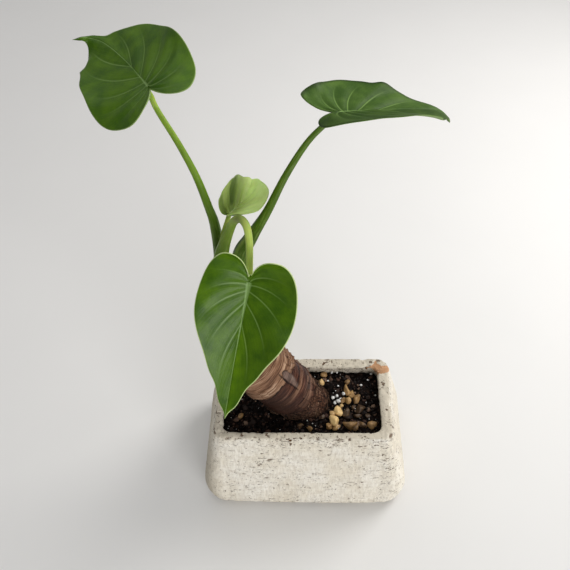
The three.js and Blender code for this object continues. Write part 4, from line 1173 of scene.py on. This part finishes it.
def makeLeafMaterial(name):
    finish = leafFinish[name]
    material, tree, shader = newMaterial(name + "Satin")
    place = objectPlace(tree)
    number = readValue(tree, "vein")
    edge = readValue(tree, "edge")
    # lines along the whole-numbered veins, a band of painted shade beside each, and faint finer veins between
    nearest = calc(tree, "ABSOLUTE", calc(tree, "SUBTRACT", number, calc(tree, "ROUND", number)))
    distance = calc(tree, "MULTIPLY", nearest, readValue(tree, "spacing"))
    fade = calc(tree, "MULTIPLY", remap(tree, edge, 2.0, 24.0), remap(tree, number, 0.5, 0.6))
    lines = calc(tree, "MULTIPLY", remap(tree, distance, 0.10, 0.60, 1, 0), fade)
    beside = calc(tree, "MULTIPLY", remap(tree, distance, 0.5, 2.6, 1, 0), fade)
    rib = remap(tree, readValue(tree, "rib"), 0.6, 1.3, 1, 0)
    thin = calc(tree, "FRACT", calc(tree, "MULTIPLY", number, 7))
    thin = remap(tree, calc(tree, "ABSOLUTE", calc(tree, "SUBTRACT", thin, 0.5)), 0.0, 0.25, 1, 0)
    clouds = noiseOf(tree, place, 0.014, 4, 0.6)
    colour = mixColour(tree, remap(tree, clouds, 0.3, 0.7), finish["dark"], finish["green"])
    colour = mixColour(tree, calc(tree, "MULTIPLY", thin, 0.03), colour, finish["vein"])
    # painted shade in the hollow beside each vein
    colour = mixColour(tree, calc(tree, "MULTIPLY", beside, 0.35), colour, finish["dark"])
    colour = mixColour(tree, calc(tree, "MULTIPLY", lines, readValue(tree, "clear")), colour, finish["vein"])
    ribShare = calc(tree, "MULTIPLY", rib, calc(tree, "MULTIPLY", readValue(tree, "clear"), 1.45))
    colour = mixColour(tree, ribShare, colour, finish["rib"])
    # painted shade: the shade attribute darkens the colour by the fold tint
    shaded = mixColour(tree, 1.0, colour, finish["fold"], "MULTIPLY")
    colour = mixColour(tree, readValue(tree, "shade"), colour, shaded)
    # painted light: brighter where the leaf faces the light or light shines through it
    pale = mixColour(tree, 1.0, colour, finish["paintedLight"], "MULTIPLY")
    colour = mixColour(tree, readValue(tree, "paintedLight"), colour, pale)
    back = mixColour(tree, calc(tree, "MULTIPLY", calc(tree, "MAXIMUM", lines, rib), 0.7), finish["under"],
                     finish["rib"])
    colour = mixColour(tree, readValue(tree, "upper"), back, colour)
    border = calc(tree, "MULTIPLY", remap(tree, edge, 0.1, 0.55, 1, 0), readValue(tree, "margin"))
    colour = mixColour(tree, border, colour, finish["margin"])
    fine = noiseOf(tree, place, 0.0010, 3, 0.6)
    normal = bumpOf(tree, fine, 0.00015, 0.5)
    normal = bumpOf(tree, calc(tree, "SUBTRACT", 1, beside), 0.0003, 0.6, normal)
    normal = bumpOf(tree, calc(tree, "SUBTRACT", 1, thin), 0.00005, 0.4, normal)
    setShader(tree, shader, colour=colour, normal=normal,
              **{key: finish[key] for key in ("roughness", "gloss", "scatter", "scatterScale")})
    shader.inputs["Subsurface Radius"].default_value = leaves["scatterRadius"]
    return material


def leafTones(name, degrees, outward, flatX, y, edge):
    # painted shade and painted light on the leaves: the young leaf's left half has painted shade with a
    # dark fold and its right half painted light, the right leaf has painted shade on its right half and is
    # darker along its edge, and the front leaf has a strip of painted light beside its rib
    shade = np.zeros_like(edge)
    paintedLight = np.zeros_like(edge)
    if name == "young":
        # painted shade on the young leaf's left half and in its dark fold, painted light on its right half
        shade = 0.5 * (1 - softStep(degrees, -24, -6)) * (1 - 0.4 * softStep(-degrees, 75, 95)) + 0 * outward
        paintedShade = softStep(degrees, -76, -66) * (1 - softStep(degrees, -44, -16))
        paintedShade = paintedShade + 0.8 * softStep(-degrees, 112, 130)
        shade = np.maximum(shade, paintedShade * softStep(outward, 0.1, 0.35))
        paintedLight = softStep(degrees, -12, 8) * softStep(outward, 0.2, 0.7)
    elif name == "right":
        shade = np.maximum(0.55 * softStep(flatX, 0, 4), 1 - softStep(edge, 0.5, 2.6))
    elif name == "front":
        # painted light in a strip beside the rib, where light shines through
        paintedLight = np.exp(-((flatX + 3.5) / 3.2) ** 2) * (flatX < 0) * softStep(y, 0.3, 0.45)
    return shade, paintedLight


def makeBlade(name, material):
    leaf = leaves[name]
    length = leaf["length"]
    rib = ribTable(leaf)
    turn = np.linspace(-math.pi, math.pi, leaves["spokes"], endpoint=False)
    # spokes are closer together near the tip and the notch, where the outline turns fastest
    degrees = np.degrees(turn - 0.24 * np.sin(turn) - 0.17 * np.sin(2 * turn))
    outward = np.linspace(0, 1, leaves["rings"] + 1)[1:, None] ** 0.85
    reach = outlineRadius(leaf, degrees)[None] * length * outward
    flatX = reach * np.sin(np.radians(degrees)) * leaf["wide"]
    flatY = reach * np.cos(np.radians(degrees))
    flatX = flatX * (1 - leaf["pinch"] * softStep(flatY / length, *leaves["pinchFrom"]))
    middle = bladePoints(leaf, rib, flatX, flatY)
    # the way out of the blade is found from points a little to either side and before and behind
    nudge = 0.25
    acrossSlope = bladePoints(leaf, rib, flatX + nudge, flatY) - bladePoints(leaf, rib, flatX - nudge, flatY)
    alongSlope = bladePoints(leaf, rib, flatX, flatY + nudge) - bladePoints(leaf, rib, flatX, flatY - nudge)
    normals = np.cross(acrossSlope, alongSlope)
    normals /= np.linalg.norm(normals, axis=-1, keepdims=True)
    x, y = np.abs(flatX) / length, flatY / length
    number = veinNumber(x, y)
    small = 0.004
    slope = np.hypot(veinNumber(x + small, y) - number, veinNumber(x, y + small) - number) / small
    spacing = length / np.maximum(slope, 1e-3)
    edge = (1 - outward) * outlineRadius(leaf, degrees)[None] * length
    # the blade swells between the veins, and the rib lies in a groove above and stands out below
    swell = leaf["quilt"] * length / 80 * (0.5 - 0.5 * np.cos(2 * math.pi * number))
    swell = swell * softStep(edge, 0, 9) * softStep(outward, 0.05, 0.35)
    ribHalf = leaf["ribWide"] * (0.5 + 3.0 * np.exp(-np.maximum(y, 0) / 0.2)) * length / 80
    ribLine = np.where(y > -0.03, np.exp(-(flatX / ribHalf) ** 2), 0) * softStep(edge, 0, 3)
    half = leaves["thickness"] / 2 * (1 - 0.35 * (1 - softStep(edge, 0, 1.5)))
    upperFace = middle + normals * (swell + half - 0.35 * ribLine)[..., None]
    lowerFace = middle + normals * (swell - half - 0.9 * ribLine * length / 80)[..., None]
    rows = np.vstack([upperFace, lowerFace[::-1]]) @ bladeAxes(leaf) + np.array(leaf["at"])
    upper = np.vstack([np.ones_like(edge), np.zeros_like(edge)])
    shade, paintedLight = leafTones(name, degrees, outward, flatX, y, edge)
    ribPlace = np.where(y > -0.03, np.abs(flatX) / ribHalf, 9)
    margin = leaf["margin"] + 0 * edge
    fields = {"vein": number, "spacing": spacing, "edge": edge, "rib": ribPlace, "shade": shade,
              "paintedLight": paintedLight, "margin": margin, "clear": leaf["clear"] + 0 * edge}
    values = {key: [np.vstack([field, field[::-1]])] for key, field in fields.items()}
    addSkin("blade" + name.capitalize(), [rows], material, ["blade_" + name],
            {**values, "upper": [upper]})


def makeBlades():
    adult = makeLeafMaterial("leaf")
    matt = makeLeafMaterial("mattLeaf")
    for name in ("left", "right", "front"):
        makeBlade(name, matt if name == "right" else adult)
    makeBlade("young", makeLeafMaterial("youngLeaf"))
    print("blades made")


makeBlades()


# Floor, light and camera

stage = {
    "floorColour": (0.80, 0.79, 0.775),
    "cloudShade": 0.965,
    "worldStrength": 0.26,
    # in metres, for each light: place, the point it shines at, side of its square, power and colour
    "lights": {
        "windowLight": ((0.66, 0.44, 0.7), (0, 0, 0.12), 0.5, 6.0, (1, 0.985, 0.96)),
        "frontLight": ((0.99, -1.68, 0.6), (0, 0, 0.12), 1.05, 25, (1, 1, 1)),
        "ceilingLight": ((-0.35, 0.6, 1.8), (-0.15, 0.25, 0), 2.0, 12.5, (1, 1, 1)),
    },
}
# lift, turn and roll in degrees, distance and target in millimetres, focal length and frame in
# pixels, and the sensor's width in millimetres
camera = {
    "lift": 50, "turn": 4.3, "roll": -3.7, "distance": 590, "target": (-16.7, 107, 100),
    "focal": 660, "frame": 570, "sensor": 36,
}


def makeStage():
    material, tree, shader = newMaterial("paleFloor")
    cloudy = noiseOf(tree, objectPlace(tree), 0.09, 4, 0.5)
    shaded = tuple(stage["cloudShade"] * c for c in stage["floorColour"])
    colour = mixColour(tree, cloudy, stage["floorColour"], shaded)
    setShader(tree, shader, colour=colour, roughness=0.6, gloss=0.3)
    # half the floor's side, in metres
    reach = 4.0
    mesh = bpy.data.meshes.new("floor")
    mesh.from_pydata([(-reach, -reach, 0), (reach, -reach, 0), (reach, reach, 0), (-reach, reach, 0)],
                     [], [(0, 1, 2, 3)])
    mesh.materials.append(material)
    floor = bpy.data.objects.new("floor", mesh)
    bpy.context.scene.collection.objects.link(floor)


def addLight(name, place, aim, size, power, colour):
    light = bpy.data.lights.new(name, "AREA")
    light.shape = "SQUARE"
    light.size = size
    light.energy = power
    light.color = colour
    lamp = bpy.data.objects.new(name, light)
    bpy.context.scene.collection.objects.link(lamp)
    lamp.location = place
    away = (np.array(place) - aim) / np.linalg.norm(np.array(place) - aim)
    side = np.cross([0, 0, 1], away)
    side /= np.linalg.norm(side)
    lamp.matrix_world = Matrix([[side[k], np.cross(away, side)[k], away[k], place[k]] for k in range(3)]
                               + [[0, 0, 0, 1]])


def makeLight():
    for name, light in stage["lights"].items():
        addLight(name, *light)
    world = bpy.data.worlds.new("room")
    world.use_nodes = True
    background = world.node_tree.nodes["Background"]
    background.inputs["Color"].default_value = (1, 1, 1, 1)
    background.inputs["Strength"].default_value = stage["worldStrength"]
    bpy.context.scene.world = world
    bpy.context.scene.view_settings.view_transform = "Standard"


def makeCamera():
    lift, turn, roll = (math.radians(camera[key]) for key in ("lift", "turn", "roll"))
    back = np.array([math.sin(turn) * math.cos(lift), -math.cos(turn) * math.cos(lift), math.sin(lift)])
    level = np.array([math.cos(turn), math.sin(turn), 0])
    upright = np.cross(back, level)
    right = math.cos(roll) * level + math.sin(roll) * upright
    up = -math.sin(roll) * level + math.cos(roll) * upright
    place = (np.array(camera["target"]) + back * camera["distance"]) * mm
    data = bpy.data.cameras.new("viewer")
    data.sensor_width = camera["sensor"]
    data.lens = camera["focal"] / camera["frame"] * camera["sensor"]
    data.clip_start = 0.01
    viewer = bpy.data.objects.new("viewer", data)
    bpy.context.scene.collection.objects.link(viewer)
    viewer.matrix_world = Matrix([[right[k], up[k], back[k], place[k]] for k in range(3)] + [[0, 0, 0, 1]])
    bpy.context.scene.camera = viewer


makeStage()
makeLight()
makeCamera()
print("stage, light and camera made")
